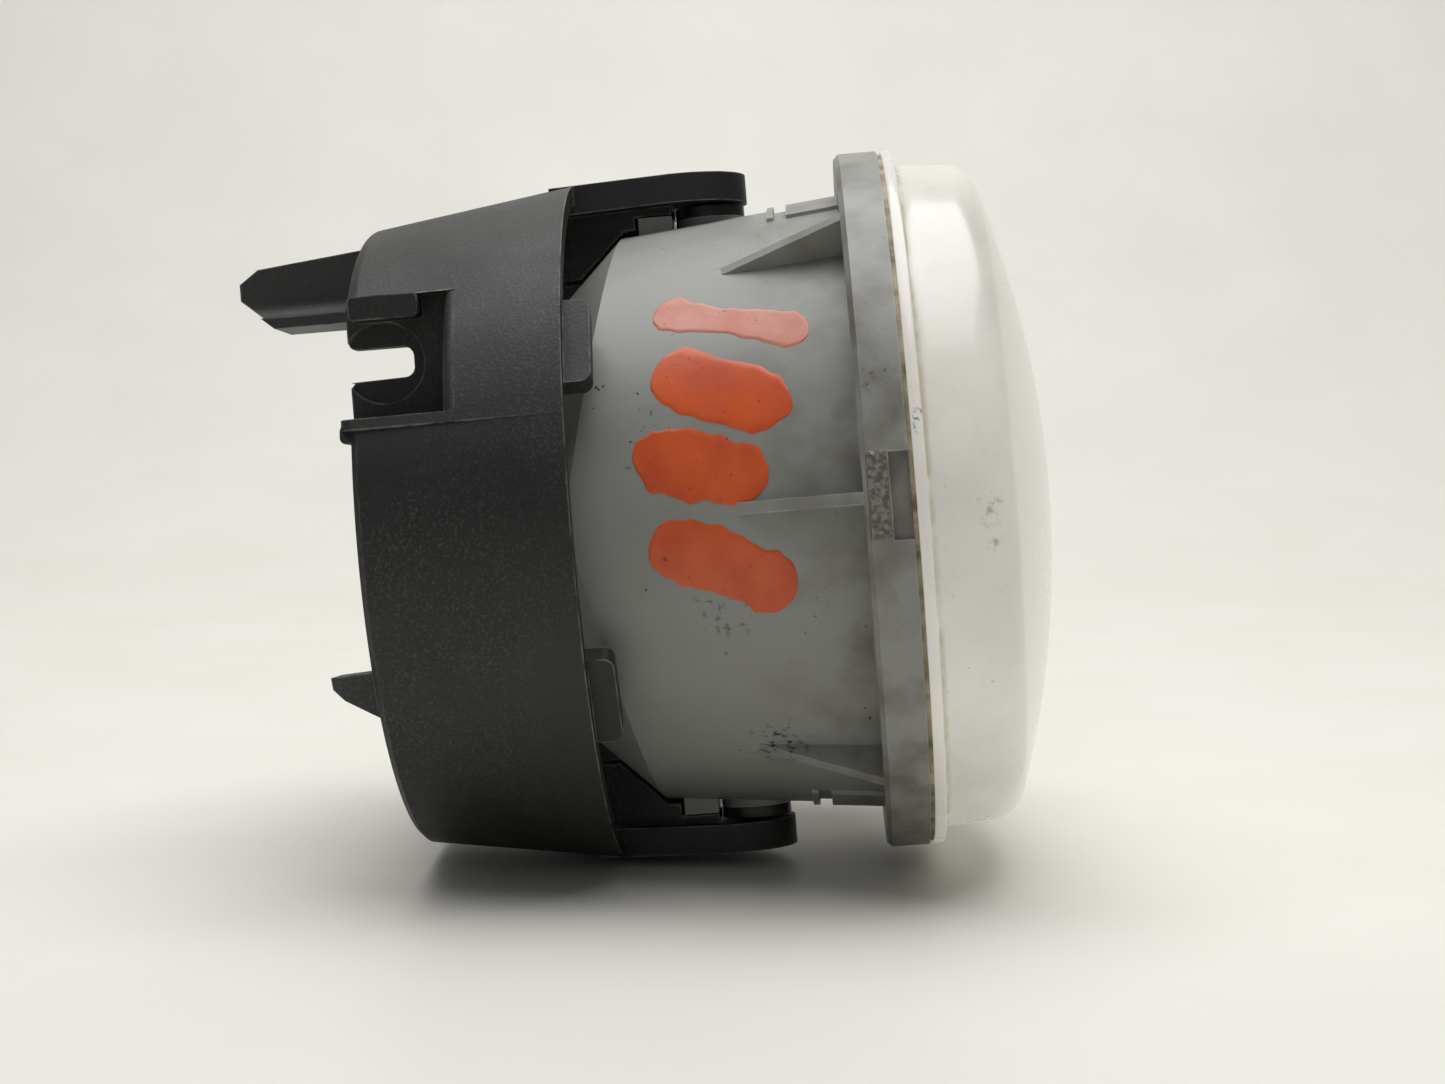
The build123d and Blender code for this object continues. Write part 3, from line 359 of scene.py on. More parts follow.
def lens_mesh():
    """Dome and side outside and inside, joined by the flange and the tongue."""
    back, front = FLANGE
    reach = lens_high.z
    tip = lens_low.x
    outer = dome_line(lens_high.x, DOME_RADIUS, SIDE_RADIUS - SIDE_DRAFT, DOME_CORNER, front + 0.5 * MM)
    inner = dome_line(lens_high.x - LENS_WALL, DOME_RADIUS - LENS_WALL,
                      SIDE_RADIUS - SIDE_DRAFT - LENS_WALL, DOME_CORNER - LENS_WALL, back)
    edge = [(front + 0.12 * MM, SIDE_RADIUS + 0.25 * MM), (front, SIDE_RADIUS + 0.7 * MM),
            (front, reach - 0.35 * MM), (front - 0.1 * MM, reach - 0.1 * MM), (front - 0.35 * MM, reach),
            (back + 0.3 * MM, reach), (back + 0.08 * MM, reach - 0.08 * MM), (back, reach - 0.3 * MM),
            (back, TONGUE[1]), (tip + 0.2 * MM, TONGUE[1]), (tip, TONGUE[1] - 0.2 * MM),
            (tip, TONGUE[0] + 0.2 * MM), (tip + 0.2 * MM, TONGUE[0]), (back - 0.4 * MM, TONGUE[0])]
    return shade(lathe("lens_pressing", outer + edge + inner[::-1], LENS_STEPS), 40)


def hazed_lens():
    """Pressed lens blasted milky by grit: pale and soft, with a painted glow that brightens it as if lit from
    within.
    """
    material, tree, place = new_material("hazed_lens_with_painted_glow")
    haze = patches(tree, place, 18 * MM, 0.30, 0.70, 1.0, 5.0)
    body = add(tree, "ShaderNodeMix", {"Factor": haze, "A": MILKY[0], "B": MILKY[1]}, data_type="RGBA")
    film = patches(tree, place, 3.2 * MM, 0.58, 0.80, 0.35, 6.0)
    body = add(tree, "ShaderNodeMix", {"Factor": film, "A": body, "B": "#a39b88"}, data_type="RGBA")
    along = add(tree, "ShaderNodeSeparateXYZ", {"Vector": place}, output="X")
    # A brownish line 0.6 mm wide darkens the corner where the side meets the flange.
    foot = add(tree, "ShaderNodeMapRange", {"Value": along, "From Min": 3.1 * MM, "From Max": 2.4 * MM})
    edge = add(tree, "ShaderNodeMapRange", {"Value": along, "From Min": 2.0 * MM, "From Max": 2.2 * MM})
    foot = add(tree, "ShaderNodeMath", {0: foot, 1: edge}, operation="MULTIPLY")
    foot = add(tree, "ShaderNodeMath", {0: foot, 1: patches(tree, place, 4 * MM, 0.30, 0.56, 0.8, 6.0)},
               operation="MULTIPLY")
    body = add(tree, "ShaderNodeMix", {"Factor": foot, "A": body, "B": "#8f8672"}, data_type="RGBA")
    # Pits of 0.3 mm hold dirt; they are drawn three times too wide so that they show.
    pits = add(tree, "ShaderNodeMath", {0: patches(tree, place, 0.9 * MM, 0.70, 0.75),
                                        1: patches(tree, place, 9 * MM, 0.54, 0.64)}, operation="MULTIPLY")
    for centre, reach in PIT_CROWDS:
        pits = add(tree, "ShaderNodeMath", {0: pits, 1: smudge(tree, place, centre, reach, 1.4 * MM)},
                   operation="MAXIMUM")
    body = add(tree, "ShaderNodeMix", {"Factor": pits, "A": body, "B": PIT_DIRT}, data_type="RGBA")
    scuff = smudge(tree, place, FLANGE_SCUFF, 2.2 * MM, 0.7 * MM)
    body = add(tree, "ShaderNodeMix", {"Factor": scuff, "A": body, "B": "#2b2b2e"}, data_type="RGBA")
    gloss = add(tree, "ShaderNodeMapRange", {"Value": haze, "To Min": 0.24, "To Max": 0.36})
    blasted = add(tree, "ShaderNodeBump", {"Height": patches(tree, place, 1.4 * MM, 0.0, 1.0, 1.0, 4.0),
                                           "Distance": 0.008 * MM, "Strength": 1.0})
    # The emission in the lens's own colour is a painted glow: the lens is no lamp.
    shader = add(tree, "ShaderNodeBsdfPrincipled", {
        "Base Color": body, "Roughness": gloss, "Normal": blasted, "IOR": 1.5,
        "Subsurface Weight": 0.35, "Subsurface Radius": (1.0, 1.0, 0.96), "Subsurface Scale": 5 * MM,
        "Coat Weight": 0.25, "Coat Roughness": 0.12, "Emission Color": body, "Emission Strength": 0.70})
    add(tree, "ShaderNodeOutputMaterial", {"Surface": shader})
    return material


def glue_wander(index, angle):
    """Uneven squeeze-out: only the two outer points of the bead move."""
    if index not in (3, 4):
        return 0
    lump = noise.noise(Vector((sin(angle), cos(angle), 0.3)) * 9) * 0.22
    fine = noise.noise(Vector((sin(angle), cos(angle), 2.0)) * 40) * 0.12
    return (lump + fine) * MM


def glue_mesh():
    """The bead: it fills the groove round the tongue and stands out under the flange."""
    low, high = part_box("lens_adhesive")
    out = high.z - 0.1 * MM
    return shade(lathe("sealant_bead", [
        (low.x, GROOVE[0]), (low.x, GROOVE[1]), (0, GROOVE[1]), (0.02 * MM, out), (high.x, out),
        (high.x, TONGUE[1]), (lens_low.x, TONGUE[1]), (lens_low.x, TONGUE[0]), (-0.4 * MM, TONGUE[0]),
        (-0.4 * MM, GROOVE[0])], LENS_STEPS, glue_wander), 40)


def aged_sealant():
    """Polyurethane sealant: once cream, browned in runs where dirt has stuck to it."""
    material, tree, place = new_material("aged_polyurethane_sealant")
    tone = add(tree, "ShaderNodeMix", {"Factor": patches(tree, place, 3 * MM, 0.36, 0.64, 1.0, 5.0),
                                       "A": "#6b5f48", "B": "#b3a88f"}, data_type="RGBA")
    skin = add(tree, "ShaderNodeBump", {"Height": patches(tree, place, 0.6 * MM, 0.0, 1.0),
                                        "Distance": 0.06 * MM, "Strength": 1.0})
    shader = add(tree, "ShaderNodeBsdfPrincipled", {"Base Color": tone, "Roughness": 0.62, "Normal": skin})
    add(tree, "ShaderNodeOutputMaterial", {"Surface": shader})
    return material


show("lens_pressing", lens_mesh(), "lamp", "lens_glass", hazed_lens(), "lens")
show("sealant_bead", glue_mesh(), "lamp", "adhesive", aged_sealant(), "lens_adhesive")


# -------------------------------------------------------------------- the vent
# A disc of expanded fluoropolymer cloth lets the lamp breathe; a soft black
# rubber cap pushed over the tube keeps the splash off it.
def soft_rubber(name, dark, pale, bloom):
    """Moulded rubber: dull and dark, greyed in patches by bloom."""
    material, tree, place = new_material(name)
    tone = add(tree, "ShaderNodeMix", {"Factor": patches(tree, place, 2.5 * MM, 0.42, 0.70, bloom, 4.0),
                                       "A": dark, "B": pale}, data_type="RGBA")
    skin = add(tree, "ShaderNodeBump", {"Height": patches(tree, place, 0.4 * MM, 0.0, 1.0),
                                        "Distance": 0.015 * MM, "Strength": 1.0})
    shader = add(tree, "ShaderNodeBsdfPrincipled", {"Base Color": tone, "Roughness": 0.72, "Normal": skin})
    add(tree, "ShaderNodeOutputMaterial", {"Surface": shader})
    return material


def breathing_cloth():
    """Expanded fluoropolymer: chalk white, with the weave of its backing."""
    material, tree, place = new_material("expanded_fluoropolymer_cloth")
    # A weave of 0.1 mm threads, drawn four times coarser.
    weave = add(tree, "ShaderNodeTexWave", {"Vector": place, "Scale": 1 / (0.4 * MM) / 20,
                                            "Distortion": 1.5}, bands_direction="DIAGONAL")
    tone = add(tree, "ShaderNodeMix", {"Factor": weave, "A": "#cfcdc6", "B": "#e3e2dd"}, data_type="RGBA")
    threads = add(tree, "ShaderNodeBump", {"Height": weave, "Distance": 0.03 * MM, "Strength": 1.0})
    shader = add(tree, "ShaderNodeBsdfPrincipled", {"Base Color": tone, "Roughness": 0.9,
                                                    "Normal": threads})
    add(tree, "ShaderNodeOutputMaterial", {"Surface": shader})
    return material


show("vent_hood", rounded("vent_cap", "vent_hood", 0.2 * MM), "lamp", "vent_rubber",
     soft_rubber("vent_rubber_black", "#1b1b1b", "#3d3c39", 0.7), "vent_cap")
dress("vent_membrane", breathing_cloth())


# -------------------------------------------------------------------- the bulb
# A push-and-twist bulb: moulded base with three lugs, cord seal, plated cup,
# hard glass envelope, coiled tungsten filament on two wires, brass blades.
COIL_TURNS = 11
COIL_WIRE = 0.14 * MM
COIL_SIDES = 8


def base_nylon():
    """Heat-stable nylon: charcoal, satin, with flow marks from the mould."""
    material, tree, place = new_material("heat_stable_nylon")
    flow = patches(tree, place, 9 * MM, 0.3, 0.7, 1.0, 4.0)
    tone = add(tree, "ShaderNodeMix", {"Factor": flow, "A": "#202122", "B": "#2e2f30"}, data_type="RGBA")
    rubbed = rubbed_edges(tree, place, 0.3 * MM, 0.5)
    tone = add(tree, "ShaderNodeMix", {"Factor": rubbed, "A": tone, "B": "#5a5955"}, data_type="RGBA")
    gloss = add(tree, "ShaderNodeMapRange", {"Value": flow, "To Min": 0.42, "To Max": 0.56})
    shader = add(tree, "ShaderNodeBsdfPrincipled", {"Base Color": tone, "Roughness": gloss})
    add(tree, "ShaderNodeOutputMaterial", {"Surface": shader})
    return material


def plain_metal(name, low, high, size, roughness):
    """Bare or plated wire and strip: two tones of one metal in small patches."""
    material, tree, place = new_material(name)
    tone = add(tree, "ShaderNodeMix", {"Factor": patches(tree, place, size, 0.34, 0.66), "A": low,
                                       "B": high}, data_type="RGBA")
    shader = add(tree, "ShaderNodeBsdfPrincipled", {"Base Color": tone, "Metallic": 1.0,
                                                    "Roughness": roughness})
    add(tree, "ShaderNodeOutputMaterial", {"Surface": shader})
    return material


def hard_glass():
    """Bulb glass: clear and thin, with a faint smoky deposit."""
    material, tree, place = new_material("hard_bulb_glass")
    smoke = add(tree, "ShaderNodeMix", {"Factor": patches(tree, place, 6 * MM, 0.4, 0.8), "A": "#f4f5f4",
                                        "B": "#d9d8d2"}, data_type="RGBA")
    shader = add(tree, "ShaderNodeBsdfPrincipled", {"Base Color": smoke, "Roughness": 0.03, "IOR": 1.47,
                                                    "Transmission Weight": 1.0})
    add(tree, "ShaderNodeOutputMaterial", {"Surface": shader})
    return material


def coil_mesh():
    """Filament: a round wire wound in a tight helix along the axis, with closed ends."""
    low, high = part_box("bulb_filament")
    radius = high.z - COIL_WIRE
    start = low.x + COIL_WIRE
    travel = high.x - low.x - 2 * COIL_WIRE
    shape = bmesh.new()
    rings = []
    for step in range(COIL_TURNS * 16 + 1):
        turn = tau * step / 16
        out = Vector((0, sin(turn), cos(turn)))
        middle = Vector((start + travel * step / (COIL_TURNS * 16), 0, 0)) + out * radius
        rings.append([shape.verts.new(middle + (out * cos(tau * side / COIL_SIDES)
                                                + Vector((sin(tau * side / COIL_SIDES), 0, 0))) * COIL_WIRE)
                      for side in range(COIL_SIDES)])
    for here, after in zip(rings, rings[1:]):
        for side in range(COIL_SIDES):
            other = (side + 1) % COIL_SIDES
            shape.faces.new((here[side], here[other], after[other], after[side]))
    shape.faces.new(rings[0])
    shape.faces.new(rings[-1])
    bmesh.ops.recalc_face_normals(shape, faces=shape.faces)
    mesh = bpy.data.meshes.new("tungsten_coil")
    shape.to_mesh(mesh)
    shape.free()
    return shade(mesh, 60)


show("bulb_socket", rounded("bulb_base", "bulb_socket", 0.2 * MM), "bulb", "bulb_plastic", base_nylon(),
     "bulb_base")
dress("bulb_seal", soft_rubber("silicone_seal", "#2b2422", "#4a3c36", 0.5))
dress("bulb_collar", plain_metal("plated_steel_cup", "#9a9b9d", "#bcbdbd", 2 * MM, 0.24))
dress("bulb_glass", hard_glass())
show("tungsten_coil", coil_mesh(), "bulb", "filament_wire",
     plain_metal("drawn_tungsten", "#5c5c60", "#84848a", 0.5 * MM, 0.42), "bulb_filament")
dress("bulb_leads", plain_metal("nickel_wire", "#8a8882", "#aaa79f", 1 * MM, 0.35))
show("brass_blades", rounded("terminal_blades", "brass_blades", 0.15 * MM), "bulb", "terminal_brass",
     plain_metal("tinned_brass", "#a88f5c", "#bdb6a2", 1.5 * MM, 0.32), "terminal_blades")


# ---------------------------------------------------------------- the bracket
# One injection moulding in black glass-filled nylon: a tapered ring with two
# arms, guide tabs, screw pockets, snap hooks and a locating post.  Its fine
# spark-eroded texture holds road dust, and its edges are rubbed pale.
BRACKET_EDGE = 0.35 * MM


def black_nylon():
    """Glass-filled nylon: deep charcoal, matt, with pale dust caught in its texture, and painted light on its
    upward faces and its post.
    """
    material, tree, place = new_material("glass_filled_nylon")
    blotch = patches(tree, place, 14 * MM, 0.35, 0.70, 1.0, 4.0)
    body = add(tree, "ShaderNodeMix", {"Factor": blotch, "A": "#0d0e0e", "B": "#141515"}, data_type="RGBA")
    # Upward faces are lightened towards pale grey: partly dust settled on them, partly painted sheen of the
    # light from above.
    normal = add(tree, "ShaderNodeNewGeometry", {}, output="Normal")
    upward = add(tree, "ShaderNodeSeparateXYZ", {"Vector": normal}, output="Z")
    film = add(tree, "ShaderNodeMapRange", {"Value": upward, "From Min": 0.1, "From Max": 1.0,
                                            "To Max": 0.8})
    # The arms and tabs in front of the ring lie under the lamp: they keep little dust and none of the painted
    # sheen, so they stay dark as painted shade.
    along = add(tree, "ShaderNodeSeparateXYZ", {"Vector": place}, output="X")
    exposed = add(tree, "ShaderNodeMapRange", {"Value": along, "From Min": -42.8 * MM,
                                               "From Max": -44.0 * MM})
    film = add(tree, "ShaderNodeMath", {0: film, 1: exposed}, operation="MULTIPLY")
    # Painted light: the post at the rear is lightened as if it caught light from the side.
    painted_light_on_post = add(tree, "ShaderNodeMapRange", {"Value": along, "From Min": -73.0 * MM,
                                               "From Max": -78.0 * MM, "To Max": 0.45})
    film = add(tree, "ShaderNodeMath", {0: film, 1: painted_light_on_post}, operation="MAXIMUM")
    body = add(tree, "ShaderNodeMix", {"Factor": film, "A": body, "B": "#333332"}, data_type="RGBA")
    # Dust specks of 0.2 mm, drawn about twice their size so that they show.
    dust = add(tree, "ShaderNodeMath", {0: patches(tree, place, 0.42 * MM, 0.52, 0.68, 1.0, 2.0),
                                        1: patches(tree, place, 26 * MM, 0.30, 0.72, 0.55, 5.0)},
               operation="MULTIPLY")
    # Dust on the arms and tabs drops to a quarter, which also keeps them dark as painted shade.
    reach = add(tree, "ShaderNodeMapRange", {"Value": exposed, "To Min": 0.25})
    dust = add(tree, "ShaderNodeMath", {0: dust, 1: reach}, operation="MULTIPLY")
    body = add(tree, "ShaderNodeMix", {"Factor": dust, "A": body, "B": "#545349"}, data_type="RGBA")
    rubbed = rubbed_edges(tree, place, 0.45 * MM, 1.0)
    body = add(tree, "ShaderNodeMix", {"Factor": rubbed, "A": body, "B": "#7f7c72"}, data_type="RGBA")
    gloss = add(tree, "ShaderNodeMapRange", {"Value": blotch, "To Min": 0.50, "To Max": 0.64})
    texture = add(tree, "ShaderNodeBump", {"Height": patches(tree, place, 0.42 * MM, 0.0, 1.0, 1.0, 2.0),
                                           "Distance": 0.05 * MM, "Strength": 1.0})
    shader = add(tree, "ShaderNodeBsdfPrincipled", {"Base Color": body, "Roughness": gloss,
                                                    "Normal": texture, "IOR": 1.53})
    add(tree, "ShaderNodeOutputMaterial", {"Surface": shader})
    return material


show("bracket_moulding", rounded("bracket", "bracket_moulding", BRACKET_EDGE), "bracket",
     "bracket_plastic", black_nylon(), "bracket")


# ------------------------------------------------------------- the pivot pins
# Turned from black acetal: each is pushed through an arm into its pad, and
# its head lies just below the arm's face.
def waxy_acetal(name, clean, soiled):
    """Acetal: close-grained and waxy, soiled in patches where it has been handled."""
    material, tree, place = new_material(name)
    tone = add(tree, "ShaderNodeMix", {"Factor": patches(tree, place, 2 * MM, 0.40, 0.70, 0.8, 5.0),
                                       "A": clean, "B": soiled}, data_type="RGBA")
    shader = add(tree, "ShaderNodeBsdfPrincipled", {"Base Color": tone, "Roughness": 0.38,
                                                    "Subsurface Weight": 0.2,
                                                    "Subsurface Radius": (1.0, 0.8, 0.6),
                                                    "Subsurface Scale": 1 * MM})
    add(tree, "ShaderNodeOutputMaterial", {"Surface": shader})
    return material


show("acetal_pins", rounded("pivot_pins", "acetal_pins", 0.12 * MM), "lamp", "pin_nylon",
     waxy_acetal("black_acetal", "#161616", "#33322f"), "pivot_pins")


# --------------------------------------------------------------- the adjuster
# A zinc-plated screw turns in the bracket's boss, kept there by a toothed
# push-on washer; its thread draws a square nut that sits in the housing's ear.
THREAD_PITCH = 2.0 * MM
THREAD_DEPTH = 0.42 * MM
THREAD_SIDES = 40
THREAD_COLUMNS = 10     # along one pitch
SHANK_RADIUS = 2.5 * MM
WASHER_TEETH = 6
WASHER_SHEET = 0.5 * MM


def zinc_plate():
    """Zinc plating under clear passivate: bright grey with a faint straw and blue bloom."""
    material, tree, place = new_material("zinc_plated_steel")
    bloom = patches(tree, place, 3 * MM, 0.35, 0.65)
    tone = add(tree, "ShaderNodeMix", {"Factor": bloom, "A": "#a9adb1", "B": "#b5b09c"}, data_type="RGBA")
    chalk = patches(tree, place, 1.2 * MM, 0.60, 0.72, 0.7, 5.0)
    tone = add(tree, "ShaderNodeMix", {"Factor": chalk, "A": tone, "B": "#d2d2cd"}, data_type="RGBA")
    gloss = add(tree, "ShaderNodeMapRange", {"Value": chalk, "To Min": 0.28, "To Max": 0.6})
    shader = add(tree, "ShaderNodeBsdfPrincipled", {"Base Color": tone, "Metallic": 1.0,
                                                    "Roughness": gloss})
    add(tree, "ShaderNodeOutputMaterial", {"Surface": shader})
    return material


def screw_mesh():
    """The head, flange and plain shank, with a rolled thread from the boss to the tip."""
    low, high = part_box("adjuster_screw")
    centre_y = (low.y + high.y) / 2
    crest = SHANK_RADIUS - 0.01 * MM
    thread_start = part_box("adjuster_clip")[1].x + 0.8 * MM
    mesh = rounded("adjuster_screw", "zinc_screw", 0.12 * MM)
    shape = bmesh.new()
    shape.from_mesh(mesh)
    everything = list(shape.verts) + list(shape.edges) + list(shape.faces)
    cut = bmesh.ops.bisect_plane(shape, geom=everything, plane_co=(thread_start, 0, 0),
                                 plane_no=(1, 0, 0), clear_outer=True)
    rim = [edge for edge in cut["geom_cut"] if isinstance(edge, bmesh.types.BMEdge)]
    bmesh.ops.holes_fill(shape, edges=rim, sides=0)
    length = high.x - thread_start
    columns = int(length / THREAD_PITCH * THREAD_COLUMNS)
    rings = []
    for column in range(columns + 1):
        x = thread_start + length * column / columns
        runs_in = min(1.0, column / THREAD_COLUMNS)
        point = 1 - min(1.0, (columns - column) / 5)
        ring = []
        for side in range(THREAD_SIDES):
            angle = tau * side / THREAD_SIDES
            phase = ((x - thread_start) / THREAD_PITCH - angle / tau) % 1.0
            groove = min(1.0, max(0.0, 1.4 - abs(phase - 0.5) * 4.2))
            radius = crest - THREAD_DEPTH * max(groove, point) * runs_in
            ring.append(shape.verts.new((x, centre_y + radius * sin(angle), radius * cos(angle))))
        rings.append(ring)
    for here, after in zip(rings, rings[1:]):
        for side in range(THREAD_SIDES):
            other = (side + 1) % THREAD_SIDES
            shape.faces.new((here[side], here[other], after[other], after[side]))
    shape.faces.new(rings[0])
    shape.faces.new(rings[-1])
    bmesh.ops.recalc_face_normals(shape, faces=shape.faces)
    shape.to_mesh(mesh)
    shape.free()
    return shade(mesh, 32)


def washer_mesh():
    """Push-on washer: a flat ring with bent teeth that bite the shank."""
    low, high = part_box("adjuster_clip")
    centre_y = (low.y + high.y) / 2
    back, front = low.x, low.x + WASHER_SHEET
    bend = 3.9 * MM
    shape = bmesh.new()
    steps = WASHER_TEETH * 8
    rings = []
    for step in range(steps):
        angle = tau * step / steps
        tooth = step % 8 in (2, 3, 4, 5, 6)
        inner = SHANK_RADIUS if tooth else 3.4 * MM
        lift = 0.3 * MM if tooth else 0.0
        ring = []
        for x, radius in ((back, high.z), (front, high.z), (front, bend), (front + lift, inner),
                          (back + lift, inner), (back, bend)):
            ring.append(shape.verts.new((x, centre_y + radius * sin(angle), radius * cos(angle))))
        rings.append(ring)
    for step in range(steps):
        here, after = rings[step], rings[(step + 1) % steps]
        for index in range(len(here)):
            other = (index + 1) % len(here)
            shape.faces.new((here[index], here[other], after[other], after[index]))
    bmesh.ops.recalc_face_normals(shape, faces=shape.faces)
    mesh = bpy.data.meshes.new("push_on_washer")
    shape.to_mesh(mesh)
    shape.free()
    return shade(mesh, 30)


zinc = zinc_plate()
show("zinc_screw", screw_mesh(), "adjuster", "screw_zinc", zinc, "adjuster_screw")
show("push_on_washer", washer_mesh(), "adjuster", "screw_zinc", zinc, "adjuster_clip")
show("acetal_nut", rounded("adjuster_nut", "acetal_nut", 0.2 * MM), "lamp", "nut_nylon",
     waxy_acetal("natural_acetal", "#c9c5b6", "#86806f"), "adjuster_nut")


# ------------------------------------------------------------- the paint dabs
# Four dabs of orange marker paint, brushed on the near wall: thin glossy
# films with raised edges, the top one wiped and faded.
WALL_FRONT = (-6 * MM, 43.7 * MM)
WALL_FALL = 3.0 / 30.9
WALL_MIDDLE = 42.2 * MM
PAINT_FILM = 0.09 * MM
PAINT_ROWS = 56
PAINT_COLUMNS = 20
# Each dab: ends along X and around the wall (mm of arc above the near side), and half width.
DABS = (((-29, 29.2), (-14, 24.0), 2.9), ((-28, 18.0), (-18.5, 14.0), 4.6),
        ((-31, 7.6), (-22.5, 4.6), 4.6), ((-30, -5.0), (-19.5, -9.8), 4.3))


def dab_mesh(name, start, end, half_width, seed):
    """One brushed dab laid on the tapered wall, thickest just inside its ragged edge."""
    first, last = Vector(start) * MM, Vector(end) * MM
    line = (last - first).normalized()
    across = Vector((-line.y, line.x))
    half = half_width * MM
    span = (last - first).length + 2 * half
    shape = bmesh.new()
    tops, bottoms = [], []
    for row in range(PAINT_ROWS + 1):
        t = row / PAINT_ROWS
        run = -half + span * (1 - cos(pi * t)) / 2
        past_end = max(0.0, -run, run - (span - 2 * half))
        width = sqrt(max(0.0, half * half - past_end * past_end))
        top, bottom = [], []
        for column in range(PAINT_COLUMNS + 1):
            side = column / PAINT_COLUMNS * 2 - 1
            ragged = 1.12 - 0.38 * t + 0.42 * noise.noise(Vector((t * 3.1, side * 0.7, seed)))
            ragged += 0.12 * noise.noise(Vector((t * 15, side, seed + 9)))
            spot = first + line * run + across * side * width * ragged
            edge = max(abs(side), past_end / half)
            lip = min(1.0, (1 - edge) * 9) * (0.7 + 0.3 * edge)
            angle = spot.y / WALL_MIDDLE
            wall = WALL_FRONT[1] + (spot.x - WALL_FRONT[0]) * WALL_FALL
            for points, height in ((top, 0.012 * MM + PAINT_FILM * lip), (bottom, -0.02 * MM)):
                radius = wall + height
                points.append(shape.verts.new((spot.x, -radius * cos(angle), radius * sin(angle))))
        tops.append(top)
        bottoms.append(bottom)
    for grid, turn in ((tops, 1), (bottoms, -1)):
        for here, after in zip(grid, grid[1:]):
            for column in range(PAINT_COLUMNS):
                shape.faces.new((here[column], here[column + 1], after[column + 1], after[column])[::turn])
    for row in range(PAINT_ROWS):
        for column in (0, PAINT_COLUMNS):
            shape.faces.new((tops[row][column], tops[row + 1][column], bottoms[row + 1][column],
                             bottoms[row][column]))
    bmesh.ops.remove_doubles(shape, verts=shape.verts, dist=0.0005 * MM)
    bmesh.ops.recalc_face_normals(shape, faces=shape.faces)
    mesh = bpy.data.meshes.new(name)
    shape.to_mesh(mesh)
    shape.free()
    return shade(mesh, 60)


def marker_paint(name, thin, full, freckles):
    """Marker paint: saturated and glossy, darker in its pools, with pinholes and grit."""
    material, tree, place = new_material(name)
    pools = patches(tree, place, 6 * MM, 0.34, 0.66, 1.0, 5.0)
    tone = add(tree, "ShaderNodeMix", {"Factor": pools, "A": thin, "B": full}, data_type="RGBA")
    grit = patches(tree, place, 0.9 * MM, 0.69, 0.73, freckles)
    tone = add(tree, "ShaderNodeMix", {"Factor": grit, "A": tone, "B": "#4a2417"}, data_type="RGBA")
    gloss = add(tree, "ShaderNodeMapRange", {"Value": pools, "To Min": 0.30, "To Max": 0.46})
    strokes = add(tree, "ShaderNodeBump", {"Height": patches(tree, place, 1.1 * MM, 0.0, 1.0, 1.0, 5.0),
                                           "Distance": 0.03 * MM, "Strength": 1.0})
    shader = add(tree, "ShaderNodeBsdfPrincipled", {"Base Color": tone, "Roughness": gloss,
                                                    "Normal": strokes})
    add(tree, "ShaderNodeOutputMaterial", {"Surface": shader})
    return material


faded_paint = marker_paint("faded_marker_paint", "#c98673", "#c67460", 0.8)
fresh_paint = marker_paint("orange_marker_paint", "#d65c28", "#c24a1c", 0.7)
for number, (start, end, half_width) in enumerate(DABS):
    dab = f"paint_dab_{number + 1}"
    show(dab, dab_mesh(dab, start, end, half_width, number * 3.7), "lamp", "housing_plastic",
         fresh_paint if number else faded_paint)


# ------------------------------------------------------------- the studio
# Not part of the lamp: a pale tabletop that sweeps up into a backdrop, soft
# light from above and a little from the front, and the camera.
CAMERA_AT = Vector((-10.35, -376.2, -2.83)) * MM
CAMERA_TURN = radians(-2.437)
CAMERA_PITCH = radians(-0.224)
CAMERA_ROLL = radians(-4.544)
CAMERA_SENSOR = 36.0
CAMERA_LENS = 64.4
TABLE_SLOPE = radians(5.0)

forward = Vector((sin(CAMERA_TURN) * cos(CAMERA_PITCH), cos(CAMERA_TURN) * cos(CAMERA_PITCH),
                  sin(CAMERA_PITCH)))
level = forward.cross(Vector((0, 0, 1))).normalized()
upright = level.cross(forward)
right = level * cos(CAMERA_ROLL) + upright * sin(CAMERA_ROLL)
up = upright * cos(CAMERA_ROLL) - level * sin(CAMERA_ROLL)
view = bpy.data.cameras.new("camera")
view.sensor_width = CAMERA_SENSOR
view.lens = CAMERA_LENS
view.clip_start = 0.01
camera = bpy.data.objects.new("camera", view)
camera.matrix_world = Matrix((right, up, -forward)).transposed().to_4x4()
camera.location = CAMERA_AT
bpy.context.scene.collection.objects.link(camera)
bpy.context.scene.camera = camera

table_up = up * cos(TABLE_SLOPE) - forward * sin(TABLE_SLOPE)
table_away = (forward - table_up * forward.dot(table_up)).normalized()
table_right = table_away.cross(table_up)
lowest = min(table_up.dot(vertex.co) for node in nodes.values() for vertex in node.data.vertices)
to_world = Matrix((table_right, table_away, table_up)).transposed().to_4x4()
to_world.translation = table_up * lowest


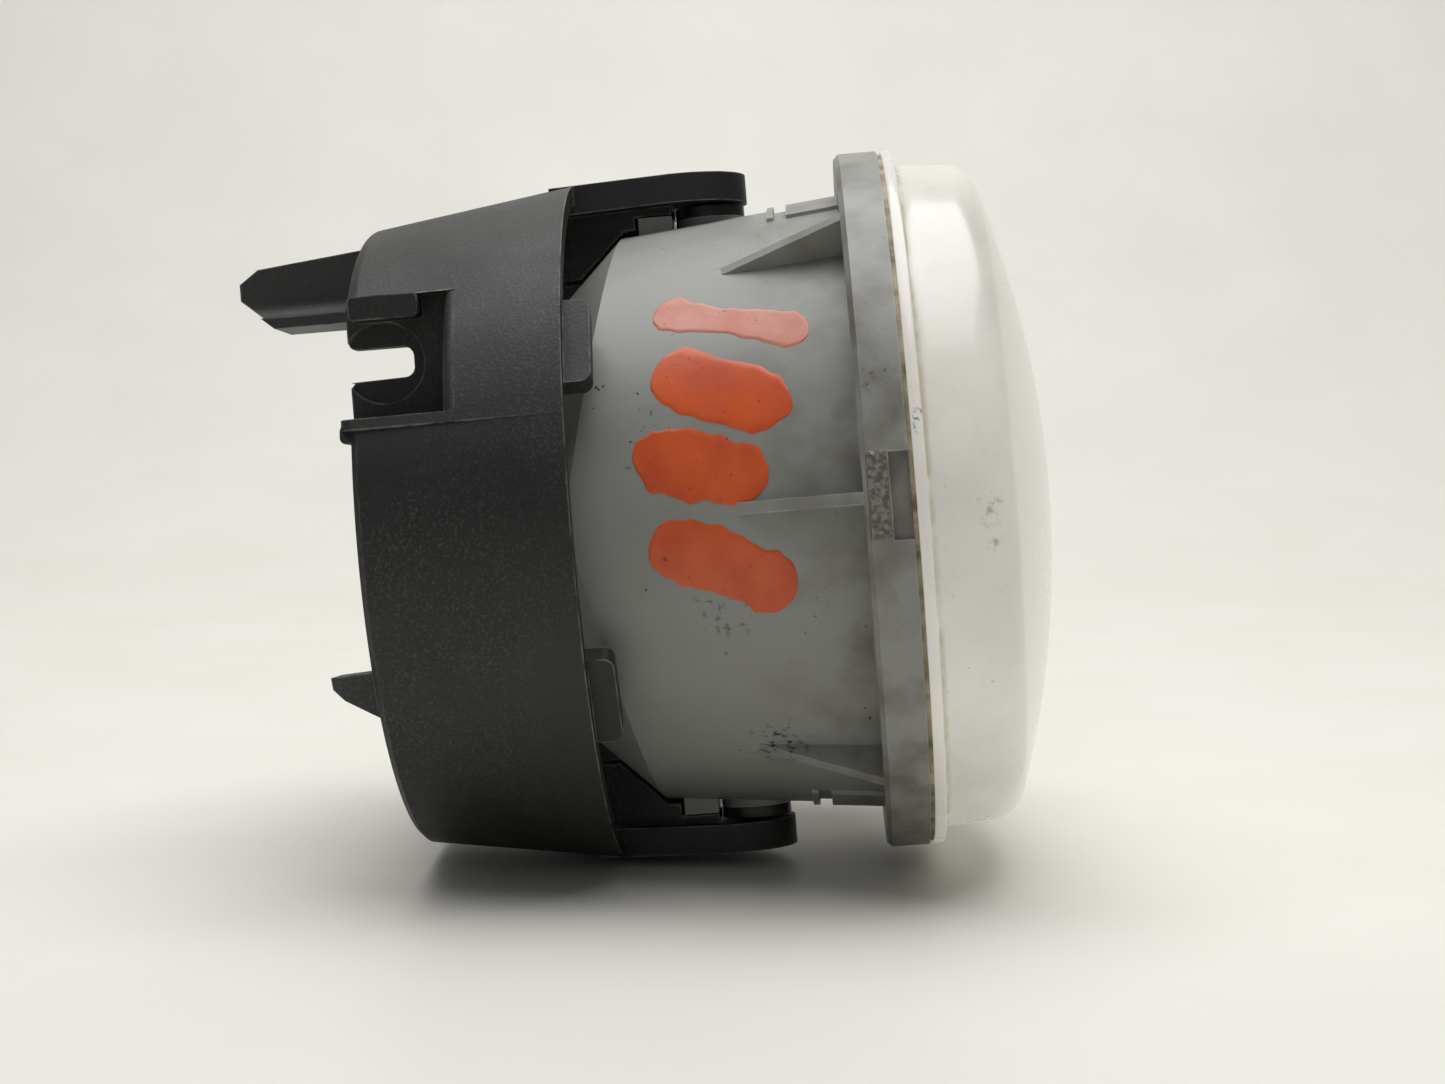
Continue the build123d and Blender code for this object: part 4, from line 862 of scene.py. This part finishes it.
def sweep_mesh():
    """Tabletop that curves up behind into a wall."""
    half = 1.6
    near = -0.9
    bend_at = 0.32
    radius = 0.35
    wall_top = 1.5
    steps = 24
    line = [(near, 0), (bend_at, 0)]
    line += [(bend_at + radius * sin(pi / 2 * i / steps), radius * (1 - cos(pi / 2 * i / steps)))
             for i in range(1, steps + 1)]
    line.append((bend_at + radius, wall_top))
    mesh = bpy.data.meshes.new("tabletop")
    corners = [(side * half, away, height) for away, height in line for side in (-1, 1)]
    faces = [(2 * i, 2 * i + 1, 2 * i + 3, 2 * i + 2) for i in range(len(line) - 1)]
    mesh.from_pydata(corners, [], faces)
    mesh.transform(to_world)
    return shade(mesh, 60)


def pale_table():
    """Painted board: off-white, faintly clouded by use."""
    material, tree, place = new_material("pale_tabletop")
    tone = add(tree, "ShaderNodeMix", {"Factor": patches(tree, place, 50 * MM, 0.3, 0.7, 1.0, 6.0),
                                       "A": "#e3e1d9", "B": "#e8e6df"}, data_type="RGBA")
    shader = add(tree, "ShaderNodeBsdfPrincipled", {"Base Color": tone, "Roughness": 0.5})
    add(tree, "ShaderNodeOutputMaterial", {"Surface": shader})
    return material


tabletop = bpy.data.objects.new("tabletop", sweep_mesh())
tabletop.data.materials.append(pale_table())
bpy.context.scene.collection.objects.link(tabletop)


def soft_light(name, width, depth, watts, place):
    """Rectangular soft light at a place given in table directions, aimed at the lamp."""
    data = bpy.data.lights.new(name, "AREA")
    data.shape = "RECTANGLE"
    data.size = width
    data.size_y = depth
    data.energy = watts
    light = bpy.data.objects.new(name, data)
    light.location = table_right * place[0] + table_away * place[1] + table_up * place[2]
    aim = Vector((-30, 0, 0)) * MM - light.location
    light.rotation_euler = aim.to_track_quat("-Z", "Y").to_euler()
    bpy.context.scene.collection.objects.link(light)


soft_light("overhead", 0.9, 0.9, 9.8, (0.0, 0.0, 0.85))
soft_light("front_fill", 0.8, 0.5, 0.15, (-0.1, -0.9, 0.35))
world = bpy.data.worlds.new("studio")
world.use_nodes = True
world.node_tree.nodes["Background"].inputs["Color"].default_value = linear("#e9ebee")
world.node_tree.nodes["Background"].inputs["Strength"].default_value = 0.18
bpy.context.scene.world = world
bpy.context.scene.view_settings.view_transform = "Standard"
